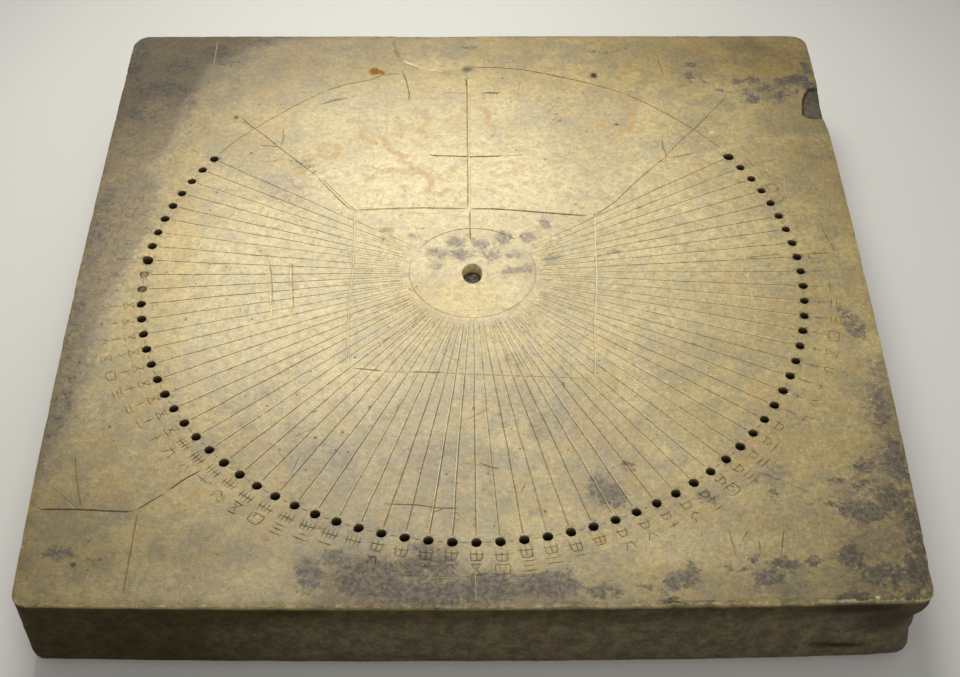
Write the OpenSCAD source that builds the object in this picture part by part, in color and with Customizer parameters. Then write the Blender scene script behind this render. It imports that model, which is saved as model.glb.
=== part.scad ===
// Stone sundial: one carved slab with a centre socket, sixty-nine rim sockets and scribed hour lines.
// Millimetres, +Z up. The origin is the middle of the underside, and +Y points to the undivided sector.

/* [Slab] */
// Width of the slab across its middle, left to right
slab_width = 276; // [268:1:300]
// Depth of the slab, front to back
slab_depth = 277; // [268:1:300]
// Thickness of the slab
slab_thickness = 34; // [28:1:45]
// How much further in the front corners stand than the back ones
front_taper = 2.6; // [0:0.2:5]
// How far the left and right sides bow out at their middles
side_bow = 1.6; // [0:0.1:3]
// How far the front side bows out at its middle
front_bow = 1.6; // [0:0.1:3]
// Where the slab is widest, front to back
widest_y = 30; // [-40:5:60]
// Radius of the upright corners at the front
corner_radius = 4.5; // [2:0.5:12]
// Radius of the upright corners at the back
back_corner_radius = 7; // [2:0.5:12]
// Radius of the soft bends where the sides bow out furthest
bend_radius = 100; // [50:10:200]
// Rounding of the arris round the underside
lower_arris = 6; // [1:0.5:8]
// Wear of the arris round the face
upper_arris = 1; // [0.4:0.1:2]

/* [Dial] */
// Place of the dial's centre on the face, left to right
dial_x = 0.4; // [-3:0.1:3]
// Place of the dial's centre on the face, front to back
dial_y = -0.4; // [-3:0.1:3]
// Radius of the circle that the rim sockets stand on
rim_radius = 115; // [100:1:118]
// Radius of the small circle that the hour lines start from
inner_radius = 21.5; // [12:0.5:30]
// Number of divided sockets and hour lines
hour_count = 69; // [12:1:100]
// Full divisions of the circle, from which the line spacing follows
circle_parts = 100; // [100:1:140]
// Direction of the first hour line, turned from +X towards +Y
first_angle = 32.6; // [20:0.1:40]

/* [Sockets] */
// Diameter of a rim socket
rim_socket_d = 3.3; // [2:0.1:5]
// Depth of a rim socket
rim_socket_depth = 10; // [4:0.5:18]
// Diameter of the straight part of the centre socket
centre_socket_d = 6.2; // [4:0.1:10]
// Diameter of the worn mouth of the centre socket
centre_mouth_d = 7.8; // [6.4:0.1:12]
// Depth of the worn mouth
centre_mouth_depth = 0.8; // [0.2:0.1:2]
// Depth of the straight part, measured from the face
centre_wall_depth = 4; // [2:0.1:10]
// Depth of the tapered bottom, measured from the face
centre_full_depth = 14; // [8:0.5:24]
// Diameter at the tip of the tapered bottom
centre_tip_d = 2; // [1:0.1:4]

/* [Scribed lines] */
// Width of a scribed line
line_width = 0.5; // [0.3:0.05:1.2]
// Depth of a scribed line
line_depth = 0.35; // [0.1:0.05:0.8]
// Half the side of the scribed square
square_half = 43; // [30:0.5:60]
// How far the square's front side lies from the dial's centre
square_front = 48; // [35:0.5:60]
// How far the square's back side lies from the dial's centre
square_back = 32.5; // [25:0.5:60]
// Length of the diagonals that leave the square's back corners
diagonal_length = 74; // [30:1:80]
// Distance of the cross bar of the back line from the dial's centre
bar_distance = 63; // [40:1:90]
// Length of that cross bar
bar_length = 32; // [10:1:60]

/* [Socket fills] */
// Numbers of the two blocked rim sockets, counted clockwise from the first line
blocked_first = 59; // [1:1:68]
// Number of the second blocked rim socket
blocked_second = 60; // [2:1:69]
// Slope of the crust's top in the first one, in degrees
first_slope = 38; // [10:1:45]
// Slope of the crust's top in the second one
second_slope = 20; // [10:1:45]
// Gap between a fill and the socket's wall
fill_gap = 0.02; // [0.01:0.01:0.1]

/* [Losses] */
// Height of the middle of the break under the front right corner
corner_break_z = 15.5; // [12:0.5:20]
// Radius of the scoop at that corner
corner_scoop_r = 10.5; // [6:0.5:12]
// Depth of the hollow that runs from the scoop along the front
corner_hollow = 4; // [1:0.5:6]
// Radius of that hollow across its length
corner_hollow_r = 20; // [15:1:40]
// Length of the hollow along the front
corner_hollow_length = 42; // [20:1:60]
// Turn of the hollow in plan, so that it fades out of the front
corner_hollow_turn = 6; // [4:0.5:9]
// Place of the chip in the right edge, from the dial's centre to its near end
edge_chip_y = 83; // [60:1:100]
// Length of that chip along the edge
edge_chip_length = 13; // [5:1:20]
// How far the chip reaches in from the edge
edge_chip_width = 6.5; // [2:0.5:10]
// Depth of the chip at its inner side
edge_chip_depth = 1.8; // [0.5:0.1:4]
// Fall of the chip's floor towards the edge, in degrees
edge_chip_fall = 8; // [0:1:20]
// Turn of the chip in plan, in degrees
edge_chip_turn = 6; // [0:1:15]

/* [Hidden] */
$fn = 64;

// Hour lines stand this many degrees apart
line_step = 360 / circle_parts;
// Cuts start this far above the face and outside the sides
over = 1;
// Points on the arc of an upright corner
corner_steps = 6;

half_depth = slab_depth / 2;
middle_half = slab_width / 2;
back_half = middle_half - side_bow / 2;
front_half = back_half - front_taper;
front_corner_y = front_bow - half_depth;

// The sharp corners of the plan, counter-clockwise, with the outermost points of the bowed sides
plan_corners = [
    [-front_half, front_corner_y],
    [0, -half_depth],
    [front_half, front_corner_y],
    [middle_half, widest_y],
    [back_half, half_depth],
    [-back_half, half_depth],
    [-middle_half, widest_y]
];
// One radius for each of those corners
corner_radii = [
    corner_radius,
    bend_radius,
    corner_radius,
    bend_radius,
    back_corner_radius,
    back_corner_radius,
    bend_radius
];
corner_count = len(plan_corners);

function unit(v) = v / norm(v);

// The centre of the arc that rounds a corner between its neighbours
function arc_centre(before, corner, after, r) =
    let (u = unit(before - corner), v = unit(after - corner), half = acos(u * v) / 2)
        corner + unit(u + v) * r / sin(half);

// The arc itself, from one side's foot to the next one's
function rounded_corner(before, corner, after, r) =
    let (
        c = arc_centre(before, corner, after, r),
        u = unit(corner - before),
        turn = 180 - acos(unit(before - corner) * unit(after - corner)),
        start = atan2(-u[0], u[1])
    )
        [for (i = [0 : corner_steps])
            let (angle = start + turn * i / corner_steps) c + r * [cos(angle), sin(angle)]];

plan_points = [
    for (i = [0 : corner_count - 1])
        each rounded_corner(
            plan_corners[(i + corner_count - 1) % corner_count],
            plan_corners[i],
            plan_corners[(i + 1) % corner_count],
            corner_radii[i]
        )
];

// Direction of an hour line, by its number from 1
function line_angle(n) = first_angle - (n - 1) * line_step;

// What a quarter round takes off along one side, drawn from the side inwards and from the edge up
module arris_waste(r) {
    difference() {
        translate([-over, -over]) square(r + over);
        translate([r, r]) circle(r);
    }
}

module arris_cut(p, q, r) {
    run = q - p;
    translate([p[0], p[1], 0])
        rotate([0, 0, atan2(run[1], run[0])])
            translate([-over, 0, 0])
                rotate([90, 0, 90])
                    linear_extrude(norm(run) + 2 * over)
                        arris_waste(r);
}

// The block before carving: tapered, bowed sides, upright corners, a rounded lower arris and a worn upper one
module rough_block() {
    difference() {
        linear_extrude(slab_thickness) polygon(plan_points);
        for (i = [0 : corner_count - 1]) {
            p = plan_corners[i];
            q = plan_corners[(i + 1) % corner_count];
            arris_cut(p, q, lower_arris);
            translate([0, 0, slab_thickness])
                mirror([0, 0, 1])
                    arris_cut(p, q, upper_arris);
        }
    }
}

// Everything that is cut into the face is drawn with its own zero at the dial's centre on the face
module on_face() {
    translate([dial_x, dial_y, slab_thickness]) children();
}

module scribed_line(p, q) {
    run = q - p;
    translate([p[0], p[1], -line_depth])
        rotate([0, 0, atan2(run[1], run[0])])
            translate([0, -line_width / 2, 0])
                cube([norm(run), line_width, line_depth + over]);
}

module scribed_circle(r) {
    rotate_extrude($fn = 128)
        translate([r - line_width / 2, -line_depth])
            square([line_width, line_depth + over]);
}

module hour_lines() {
    for (n = [1 : hour_count])
        rotate([0, 0, line_angle(n)])
            scribed_line([inner_radius, 0], [rim_radius, 0]);
}

module square_and_back_line() {
    left = -square_half;
    right = square_half;
    reach = diagonal_length / sqrt(2);
    scribed_line([left, square_back], [right, square_back]);
    scribed_line([left, -square_front], [right, -square_front]);
    scribed_line([left, -square_front], [left, square_back]);
    scribed_line([right, -square_front], [right, square_back]);
    scribed_line([left, square_back], [left - reach, square_back + reach]);
    scribed_line([right, square_back], [right + reach, square_back + reach]);
    scribed_line([0, inner_radius], [0, rim_radius]);
    scribed_line([-bar_length / 2, bar_distance], [bar_length / 2, bar_distance]);
}

module rim_socket(n) {
    rotate([0, 0, line_angle(n)])
        translate([rim_radius, 0, -rim_socket_depth])
            cylinder(d = rim_socket_d, h = rim_socket_depth + over);
}

module centre_socket() {
    translate([0, 0, -centre_full_depth])
        cylinder(d1 = centre_tip_d, d2 = centre_socket_d, h = centre_full_depth - centre_wall_depth);
    translate([0, 0, -centre_wall_depth])
        cylinder(d = centre_socket_d, h = centre_wall_depth);
    translate([0, 0, -centre_mouth_depth])
        cylinder(d1 = centre_socket_d, d2 = centre_mouth_d, h = centre_mouth_depth);
    cylinder(d = centre_mouth_d, h = over);
}

// The break under the front right corner: a long hollow in the front that deepens to a scoop at the corner
module corner_break() {
    translate([front_half, front_corner_y, corner_break_z]) {
        sphere(r = corner_scoop_r);
        translate([over, corner_hollow - corner_hollow_r, 0])
            rotate([0, -90, -corner_hollow_turn])
                cylinder(r = corner_hollow_r, h = corner_hollow_length);
    }
}

// The chip in the right edge, with a floor that falls away outwards
module edge_chip() {
    translate([middle_half - dial_x - edge_chip_width, edge_chip_y, -edge_chip_depth])
        rotate([0, edge_chip_fall, -edge_chip_turn])
            cube([2 * edge_chip_width, edge_chip_length, 3 * edge_chip_depth]);
}

module dial_slab() {
    color([0.66, 0.57, 0.39])
        difference() {
            rough_block();
            corner_break();
            on_face() {
                centre_socket();
                for (n = [1 : hour_count]) rim_socket(n);
                scribed_circle(rim_radius);
                scribed_circle(inner_radius);
                hour_lines();
                square_and_back_line();
                edge_chip();
            }
        }
}

// What closes the centre socket: it fills the taper up to the foot of the straight wall
module centre_socket_fill() {
    color([0.36, 0.31, 0.26])
        on_face()
            translate([0, 0, -centre_full_depth + fill_gap])
                cylinder(
                    d1 = centre_tip_d - 2 * fill_gap,
                    d2 = centre_socket_d - 2 * fill_gap,
                    h = centre_full_depth - centre_wall_depth - fill_gap
                );
}

// Crust in one rim socket. Its top slopes down across the mouth from near one side, and leaves the rest open
module crust(n, slope) {
    top = -line_depth;
    block = 2 * rim_socket_depth;
    rotate([0, 0, line_angle(n)])
        translate([rim_radius, 0, 0])
            intersection() {
                translate([0, 0, fill_gap - rim_socket_depth])
                    cylinder(d = rim_socket_d - 2 * fill_gap, h = rim_socket_depth + top - fill_gap);
                translate([0, 0, top])
                    rotate([slope, 0, 0])
                        translate([-block / 2, -block / 2, -block])
                            cube(block);
            }
}

module rim_socket_fills() {
    color([0.62, 0.53, 0.37])
        on_face() {
            crust(blocked_first, first_slope);
            crust(blocked_second, second_slope);
        }
}

dial_slab();
centre_socket_fill();
rim_socket_fills();
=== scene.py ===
"""Stone sundial: one carved limestone slab, the earth in its centre socket and the crust in two rim sockets.

Shapes are worked out with numpy in millimetres, as whole arrays, and go into each mesh in metres. A place
on the face is given from the dial's centre, with +X to the right and +Y towards the undivided sector.
"""
import logging
from dataclasses import dataclass, field
from enum import Enum
from typing import Callable, Iterable

import bmesh
import bpy
import numpy as np
from mathutils import Matrix, Vector
from mathutils.geometry import delaunay_2d_cdt


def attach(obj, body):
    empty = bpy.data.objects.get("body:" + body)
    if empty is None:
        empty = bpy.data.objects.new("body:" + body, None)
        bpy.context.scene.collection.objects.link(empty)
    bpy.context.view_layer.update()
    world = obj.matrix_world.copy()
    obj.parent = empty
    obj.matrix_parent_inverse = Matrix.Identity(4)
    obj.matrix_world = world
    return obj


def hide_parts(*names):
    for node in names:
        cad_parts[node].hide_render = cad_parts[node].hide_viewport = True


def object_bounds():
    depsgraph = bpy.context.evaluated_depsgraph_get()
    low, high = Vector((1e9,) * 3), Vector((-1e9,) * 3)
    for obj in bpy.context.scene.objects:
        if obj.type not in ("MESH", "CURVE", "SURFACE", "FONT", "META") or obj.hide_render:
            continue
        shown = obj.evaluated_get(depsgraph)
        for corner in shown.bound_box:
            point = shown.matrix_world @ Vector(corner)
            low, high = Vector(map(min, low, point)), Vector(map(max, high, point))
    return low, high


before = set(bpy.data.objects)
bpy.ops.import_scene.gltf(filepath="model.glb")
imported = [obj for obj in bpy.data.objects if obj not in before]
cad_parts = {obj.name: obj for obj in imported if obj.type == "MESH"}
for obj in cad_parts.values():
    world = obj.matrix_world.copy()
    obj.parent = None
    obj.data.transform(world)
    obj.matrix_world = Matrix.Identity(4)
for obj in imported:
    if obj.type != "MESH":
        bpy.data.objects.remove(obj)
CAD_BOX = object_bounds()

LOG = logging.getLogger("sundial")
Array = np.ndarray
Colour = tuple[float, float, float]
Points = tuple[tuple[float, float], ...]
MM = 0.001
THICKNESS = (CAD_BOX[1].z - CAD_BOX[0].z) / MM


# Small pieces of arithmetic


def smoothstep(low: float, high: float, value: Array) -> Array:
    """Rises from 0 at low to 1 at high, as 3t squared less 2t cubed."""
    t = np.clip((value - low) / (high - low), 0.0, 1.0)
    return t * t * (3.0 - 2.0 * t)


def heading(turn: Array) -> Array:
    """Unit vectors at angles in radians: cosine and sine."""
    return np.stack([np.cos(turn), np.sin(turn)], axis=-1)


def lattice(x: Array, y: Array) -> Array:
    """Every pair of an x and a y, one row each."""
    return np.stack(np.meshgrid(x, y), axis=-1).reshape(-1, 2)


def rounded(points: Array) -> Array:
    """Points as a mesh stores them, so that seams worked out in two places meet exactly."""
    return points.astype(np.float32).astype(float)


def lengths(vectors: Array) -> Array:
    """Length of each row."""
    return np.linalg.norm(vectors, axis=1)


def resample(path: Array | Points, spacing: float) -> Array:
    """Sets points at even steps along a path, by linear interpolation on its arc length.

    Args:
        path: the path's corners, one row each.
        spacing: the wanted step, in millimetres.

    Returns:
        The new points, with the first and last ones kept.
    """
    path = np.asarray(path, float)
    along = np.concatenate([[0.0], np.cumsum(lengths(np.diff(path, axis=0)))])
    count = max(2, int(round(along[-1] / spacing)) + 1)
    at = np.linspace(0.0, along[-1], count)
    return np.stack([np.interp(at, along, path[:, axis]) for axis in (0, 1)], axis=-1)


def left_normals(path: Array, closed: bool = False) -> Array:
    """Unit normals on the left of a path: its central differences turned by a quarter turn.

    Args:
        path: the points, one row each.
        closed: whether the last point joins the first.

    Returns:
        One unit vector for each point.
    """
    if closed:
        run = np.roll(path, -1, axis=0) - np.roll(path, 1, axis=0)
    else:
        run = np.gradient(path, axis=0)
    turned = np.stack([-run[:, 1], run[:, 0]], axis=-1)
    return turned / np.maximum(np.linalg.norm(turned, axis=1, keepdims=True), 1e-9)


def distance_to_path(points: Array, path: Array) -> tuple[Array, Array]:
    """Least distance from each point to a path, with how far along the path it is met.

    Each point is dropped on every straight part, the foot is held between the part's ends, and the least
    distance is kept.

    Args:
        points: places on the face, one row each.
        path: the path's corners, one row each.

    Returns:
        The distances, and the lengths from the path's start to the feet.
    """
    run = np.diff(path, axis=0)
    length = np.maximum(lengths(run), 1e-9)
    start = np.concatenate([[0.0], np.cumsum(length)[:-1]])
    offset = points[:, None, :] - path[None, :-1, :]
    share = np.clip((offset * run).sum(axis=-1) / length**2, 0.0, 1.0)
    gap = np.linalg.norm(offset - share[..., None] * run, axis=-1)
    nearest = gap.argmin(axis=1)
    row = np.arange(len(points))
    return gap[row, nearest], start[nearest] + share[row, nearest] * length[nearest]


def gap_to(points: Array, path: Array | Points) -> Array:
    """Least distance from each point to a path."""
    return distance_to_path(points, np.asarray(path, float))[0]


def inside(points: Array, corners: Array | Points) -> Array:
    """Tells which points lie in a polygon, by counting the sides that a ray towards +X crosses.

    Args:
        points: places on the face, one row each.
        corners: the polygon's corners in order.

    Returns:
        One boolean for each point.
    """
    corners = np.asarray(corners, float)
    x, y = points[:, :1], points[:, 1:]
    after = np.roll(corners, -1, axis=0)
    spans = (corners[:, 1] > y) != (after[:, 1] > y)
    rise = after[:, 1] - corners[:, 1]
    slope = (after[:, 0] - corners[:, 0]) / np.where(rise == 0.0, 1.0, rise)
    crossing = corners[:, 0] + (y - corners[:, 1]) * slope
    return (spans & (x < crossing)).sum(axis=1) % 2 == 1


@dataclass(frozen=True)
class Noise:
    """Smooth numbers from -1 to 1 that are the same on every run.

    Each point of a cubic lattice has a hashed number, and a place between them takes the smoothstep blend of
    its eight neighbours. Each further octave halves the cell and the weight.
    """

    cell: float
    seed: int
    octaves: int = 1

    def at(self, points: Array) -> Array:
        """Values at places in the cell's own unit."""
        total = np.zeros(len(points))
        weights = 0.5 ** np.arange(self.octaves)
        for octave, weight in enumerate(weights):
            total += weight * self._layer(points * 2.0**octave / self.cell, self.seed + octave)
        return total / weights.sum()

    @staticmethod
    def _layer(places: Array, seed: int) -> Array:
        """One octave: the smoothstep blend of the eight lattice numbers round each place.

        Args:
            places: the places in cells, one row each.
            seed: the octave's own seed.

        Returns:
            One number for each place.
        """
        if places.shape[1] == 2:
            places = np.concatenate([places, np.zeros((len(places), 1))], axis=1)
        base = np.floor(places).astype(np.int64)
        t = places - base
        t = t * t * (3.0 - 2.0 * t)
        total = np.zeros(len(places))
        for corner in np.ndindex(2, 2, 2):
            weight = np.prod(np.where(corner, t, 1.0 - t), axis=1)
            total += weight * Noise._hashed(base + np.array(corner), seed)
        return total

    @staticmethod
    def _hashed(cells: Array, seed: int) -> Array:
        """Mixes each lattice point's coordinates by primes, shifts and masks."""
        key = (cells * np.array([73856093, 19349663, 83492791])).sum(axis=-1) + seed * 1013904223
        key = ((key ^ (key >> 13)) & 0x7FFFFFFF) * 1274126177 & 0x7FFFFFFF
        key = (key ^ (key >> 15)) * 668265263 & 0x7FFFFFFF
        return ((key ^ (key >> 16)) & 0xFFFF) / 32767.5 - 1.0


# The dial's layout and the slab's plan


@dataclass(frozen=True)
class Dial:
    """The divided circle: where its centre lies in the part, and where its lines and sockets stand."""

    centre: tuple[float, float] = (0.4, -0.4)
    centre_socket: tuple[float, float] = (-0.35, -0.3)
    rim_radius: float = 115.0
    inner_radius: float = 22.2
    count: int = 69
    first_angle: float = 32.6
    step: float = 3.6
    socket_radius: float = 1.62

    def angle(self, number: float) -> float:
        """Direction of an hour line in radians, counted clockwise from 1."""
        return np.radians(self.first_angle - (number - 1) * self.step)

    def directions(self, number: int) -> tuple[Array, Array]:
        """Unit vectors along an hour line, away from the centre, and across it to the left."""
        outward = heading(self.angle(number))
        return outward, np.array([-outward[1], outward[0]])

    def arc(self, radius: float, first: float, last: float, spacing: float) -> Array:
        """Points on a circle between two directions in degrees, at about the given spacing."""
        count = max(3, int(abs(np.radians(last - first)) * radius / spacing))
        return radius * heading(np.radians(np.linspace(first, last, count)))

    def to_part(self, points: Array) -> Array:
        """Moves places on the face from the dial's centre to the part's origin."""
        return points + np.array(self.centre)


@dataclass(frozen=True)
class Outline:
    """The slab's plan in the part's own place: straight back, bowed front and sides, rounded corners.

    The points stand closer together on the front right, where the corner is broken.
    """

    half_width: float = 137.95
    half_depth: float = 138.45
    widest_y: float = 30.0
    front_loss: float = 3.3
    back_loss: float = 0.3
    front_bow: float = 1.6
    corner_radius: float = 4.5
    back_radius: float = 7.0
    least_radius: float = 0.8
    coarse: float = 2.3
    fine: float = 1.1
    close_share: float = 0.8
    corner_points: int = 9

    def reach(self, y: Array) -> Array:
        """Half width at y: the widest value less a square term towards the front and one towards the back."""
        front = np.minimum(y - self.widest_y, 0.0) / (self.half_depth + self.widest_y)
        back = np.maximum(y - self.widest_y, 0.0) / (self.half_depth - self.widest_y)
        return self.half_width - self.front_loss * front**2 - self.back_loss * back**2

    def front_side(self, x: Array) -> Array:
        """The front's y at x: its middle's, plus a square term that is the whole bow at the corners."""
        corner_x = self.half_width - self.front_loss - self.corner_radius
        return self.front_bow * (x / corner_x) ** 2 - self.half_depth

    def loop(self, inset: float = 0.0) -> Array:
        """The plan's points, counter-clockwise from the front left, drawn in by an inset.

        Four sides alternate with four arcs. A side of length L has a point at each of its own fixed shares of
        L, so that loops of any inset match point for point.

        Args:
            inset: how far the plan is drawn in, in millimetres.

        Returns:
            One row for each point.
        """
        near = max(self.corner_radius - inset, self.least_radius)
        far = max(self.back_radius - inset, self.least_radius)
        back_y = self.half_depth - inset - far
        front = self.reach(self.front_bow - self.half_depth + inset + near) - inset - near
        front_y = self.front_side(front) + inset + near
        back = self.reach(back_y) - inset - far
        even = np.arange(0.0, 1.0, self.coarse / (2.0 * self.half_depth))
        close = np.arange(self.close_share, 1.0, self.fine / (2.0 * self.half_depth))
        near_end = np.concatenate([even[even < self.close_share], close])
        near_start = np.append(0.0, 1.0 - near_end[:0:-1])
        front_x = front * (2.0 * near_end - 1.0)
        parts = [
            np.stack([front_x, self.front_side(front_x) + inset], axis=-1),
            self._arc(front, front_y, near, -90.0, 2 * self.corner_points),
            self._side(front_y + (back_y - front_y) * near_start, inset),
            self._arc(back, back_y, far, 0.0, self.corner_points),
            np.stack([back * (1.0 - 2.0 * even), np.full(len(even), back_y + far)], axis=-1),
            self._arc(-back, back_y, far, 90.0, self.corner_points),
            self._side(back_y + (front_y - back_y) * even, inset) * np.array([-1.0, 1.0]),
            self._arc(-front, front_y, near, 180.0, self.corner_points),
        ]
        return np.concatenate(parts)

    def _side(self, y: Array, inset: float) -> Array:
        """The bowed right side at the given y, drawn in by the inset."""
        return np.stack([self.reach(y) - inset, y], axis=-1)

    def _arc(self, x: float, y: float, radius: float, start: float, count: int) -> Array:
        """A quarter circle without its last point: the centre plus the radius times cosine and sine."""
        turn = np.radians(start + 90.0 * np.arange(count) / count)
        return np.array([x, y]) + radius * heading(turn)


# Lines and numerals scribed in the face


class Mark(Enum):
    """What a scribed line shows, which sets the attribute that it writes: dark dirt, or pale bruising with
    painted highlight where a groove's wall catches the light.
    """

    DARK = "dirt"
    PALE = "bruise_and_highlight"


DARK, PALE = Mark.DARK, Mark.PALE


@dataclass(frozen=True)
class Stroke:
    """A scribed line: a rounded groove carried along a path, running out at its ends.

    At a distance d from the path the depth is the full depth times 1 - (2d / width) squared. A line may
    start faint and grow to its full strength over the faint length.
    """

    path: Array
    width: float = 0.5
    depth: float = 0.3
    mark: Mark = DARK
    strength: float = 0.8
    run_out: float = 1.0
    faint: float = 0.0
    faint_length: float = 55.0
    wide: float = 0.75

    def rails(self) -> list[Array]:
        """The path's two edges and its middle, with two more lines between them in a wide groove."""
        shares = np.linspace(-0.5, 0.5, 3 if self.width < self.wide else 5)
        normals = left_normals(self.path)
        return [self.path + share * self.width * normals for share in shares]

    def near(self, points: Array) -> Array:
        """Indices of the points in the stroke's own box."""
        low = self.path.min(axis=0) - self.width
        high = self.path.max(axis=0) + self.width
        return np.flatnonzero(((points > low) & (points < high)).all(axis=1))

    def profile(self, points: Array) -> Array:
        """How deep the groove is, from its round section, its faint start and its two run-outs.

        Args:
            points: places on the face, one row each.

        Returns:
            Share of the full depth at each point, from 0 outside the groove to 1 in its middle.
        """
        gap, along = distance_to_path(points, self.path)
        share = np.clip(1.0 - (2.0 * gap / self.width) ** 2, 0.0, 1.0)
        ends = np.minimum(along, lengths(np.diff(self.path, axis=0)).sum() - along)
        start = 1.0 - self.faint * smoothstep(self.faint_length, 0.0, along)
        return share * start * smoothstep(-0.1, max(self.run_out, 0.05), ends)


@dataclass(frozen=True)
class Sign:
    """One sign of the numerals: its height and width, and its lines in a cell.

    In the cell x runs from -0.5 to 0.5 across the sign, and y from 0 at its foot to 1 at its head.
    """

    height: float
    width: float
    lines: tuple[Points, ...]


SIGNS = {
    1: Sign(1.2, 5.6, (((-0.5, 0.5), (0.5, 0.5)),)),
    2: Sign(2.4, 5.6, (((-0.42, 0.8), (0.42, 0.8)), ((-0.5, 0.1), (0.5, 0.1)))),
    3: Sign(3.8, 5.4, (
        ((-0.44, 0.95), (0.44, 0.95)), ((-0.36, 0.5), (0.36, 0.5)), ((-0.5, 0.05), (0.5, 0.05)),
    )),
    4: Sign(3.6, 4.6, (
        ((-0.5, 1.0), (-0.44, 0.0), (0.44, 0.0), (0.5, 1.0), (-0.5, 1.0)),
        ((-0.16, 1.0), (-0.24, 0.45)), ((0.16, 1.0), (0.24, 0.45)),
    )),
    5: Sign(4.0, 4.0, (
        ((-0.46, 1.0), (0.46, 1.0)), ((-0.5, 0.0), (0.5, 0.0)),
        ((-0.34, 0.96), (0.36, 0.05)), ((0.34, 0.96), (-0.36, 0.05)),
    )),
    6: Sign(4.4, 4.4, (
        ((-0.46, 0.42), (-0.2, 0.72), (0.0, 1.0), (0.2, 0.72), (0.46, 0.42)),
        ((-0.16, 0.5), (-0.3, 0.0)), ((0.16, 0.5), (0.3, 0.0)),
    )),
    7: Sign(3.4, 4.8, (((-0.5, 0.55), (0.5, 0.6)), ((0.02, 0.85), (0.0, 0.2)))),
    8: Sign(3.6, 4.0, (((-0.1, 0.95), (-0.2, 0.5), (-0.5, 0.05)), ((0.1, 0.95), (0.2, 0.5), (0.5, 0.05)))),
    9: Sign(4.4, 4.6, (
        ((-0.08, 1.0), (-0.14, 0.5), (-0.46, 0.0)), ((-0.42, 0.72), (0.26, 0.74), (0.24, 0.2), (0.5, 0.04)),
    )),
    10: Sign(5.4, 4.4, (((0.0, 1.0), (0.02, 0.0)), ((-0.24, 0.5), (0.24, 0.55)))),
    20: Sign(4.2, 4.0, (
        ((-0.36, 1.0), (-0.32, 0.12), (0.32, 0.12), (0.36, 1.0)), ((-0.56, 0.6), (0.56, 0.6)),
    )),
    30: Sign(4.2, 4.2, (
        ((-0.42, 1.0), (-0.4, 0.06), (0.4, 0.06), (0.42, 1.0)),
        ((0.0, 1.0), (0.0, 0.06)), ((-0.56, 0.64), (0.56, 0.64)),
    )),
    40: Sign(4.2, 4.6, (
        ((-0.46, 1.0), (-0.42, 0.0)), ((-0.16, 1.0), (-0.14, 0.0)), ((0.16, 1.0), (0.14, 0.0)),
        ((0.46, 1.0), (0.42, 0.0)), ((-0.62, 0.5), (0.62, 0.5)),
    )),
}


@dataclass(frozen=True)
class Numerals:
    """The numbers round the rim, heads towards the centre, tens nearest the socket and units outside them."""

    dial: Dial
    start_radius: float = 117.6
    gap: float = 0.9
    width: float = 0.42
    depth: float = 0.22
    wobble: float = 0.16
    crowded_height: float = 0.82
    crowded_width: float = 0.9
    faint_from: int = 54
    faint: float = 0.75
    rubbed_from: int = 59
    rubbed: float = 0.45
    seed: int = 71

    def signs_of(self, number: int) -> list[int]:
        """A number's signs from the socket outwards.

        Its tens are one sign, or from fifty on a five or six and a ten. Its unit comes outside them.

        Args:
            number: the number of the rim socket.

        Returns:
            Keys of SIGNS.
        """
        tens, unit = divmod(number, 10)
        if tens > 4:
            signs = [tens, 10]
        else:
            signs = [10 * tens] if tens else []
        return signs + ([unit] if unit else [])

    def left_of(self, number: int) -> float:
        """Share of a numeral's depth that is left: the last ones are faint or nearly rubbed off."""
        if number >= self.rubbed_from:
            return self.rubbed
        return self.faint if number >= self.faint_from else 1.0

    def strokes(self) -> list[Stroke]:
        """Draws every numeral outside its socket, each point moved by a seeded wobble.

        Returns:
            The strokes of all signs, in the order of the numbers.
        """
        rng = np.random.default_rng(self.seed)
        made = []
        for number in range(1, self.dial.count + 1):
            outward, across = self.dial.directions(number)
            radius = self.start_radius + rng.uniform(-0.3, 0.5)
            signs = self.signs_of(number)
            tall, broad = (self.crowded_height, self.crowded_width) if len(signs) > 2 else (1.0, 1.0)
            for sign in (SIGNS[key] for key in signs):
                for line in sign.lines:
                    cell = np.array(line)
                    away = (radius + (1.0 - cell[:, 1]) * (sign.height * tall))[:, None] * outward
                    path = away + (cell[:, 0] * (sign.width * broad))[:, None] * across
                    path = path + rng.uniform(-self.wobble, self.wobble, path.shape)
                    strength = self.left_of(number) * rng.uniform(0.6, 1.0)
                    depth = self.depth * strength
                    made.append(Stroke(resample(path, 1.4), self.width, depth, DARK, strength, 0.4))
                radius += sign.height * tall + self.gap * tall
        return made


@dataclass(frozen=True)
class Line:
    """One line of the layout, as measured: its points, width, depth, look and strength."""

    points: Points
    width: float = 0.5
    depth: float = 0.3
    mark: Mark = DARK
    strength: float = 0.8
    run_out: float = 1.5

    def stroke(self) -> Stroke:
        """The groove along the line."""
        path = resample(self.points, 2.5)
        return Stroke(path, self.width, self.depth, self.mark, self.strength, self.run_out)


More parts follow.
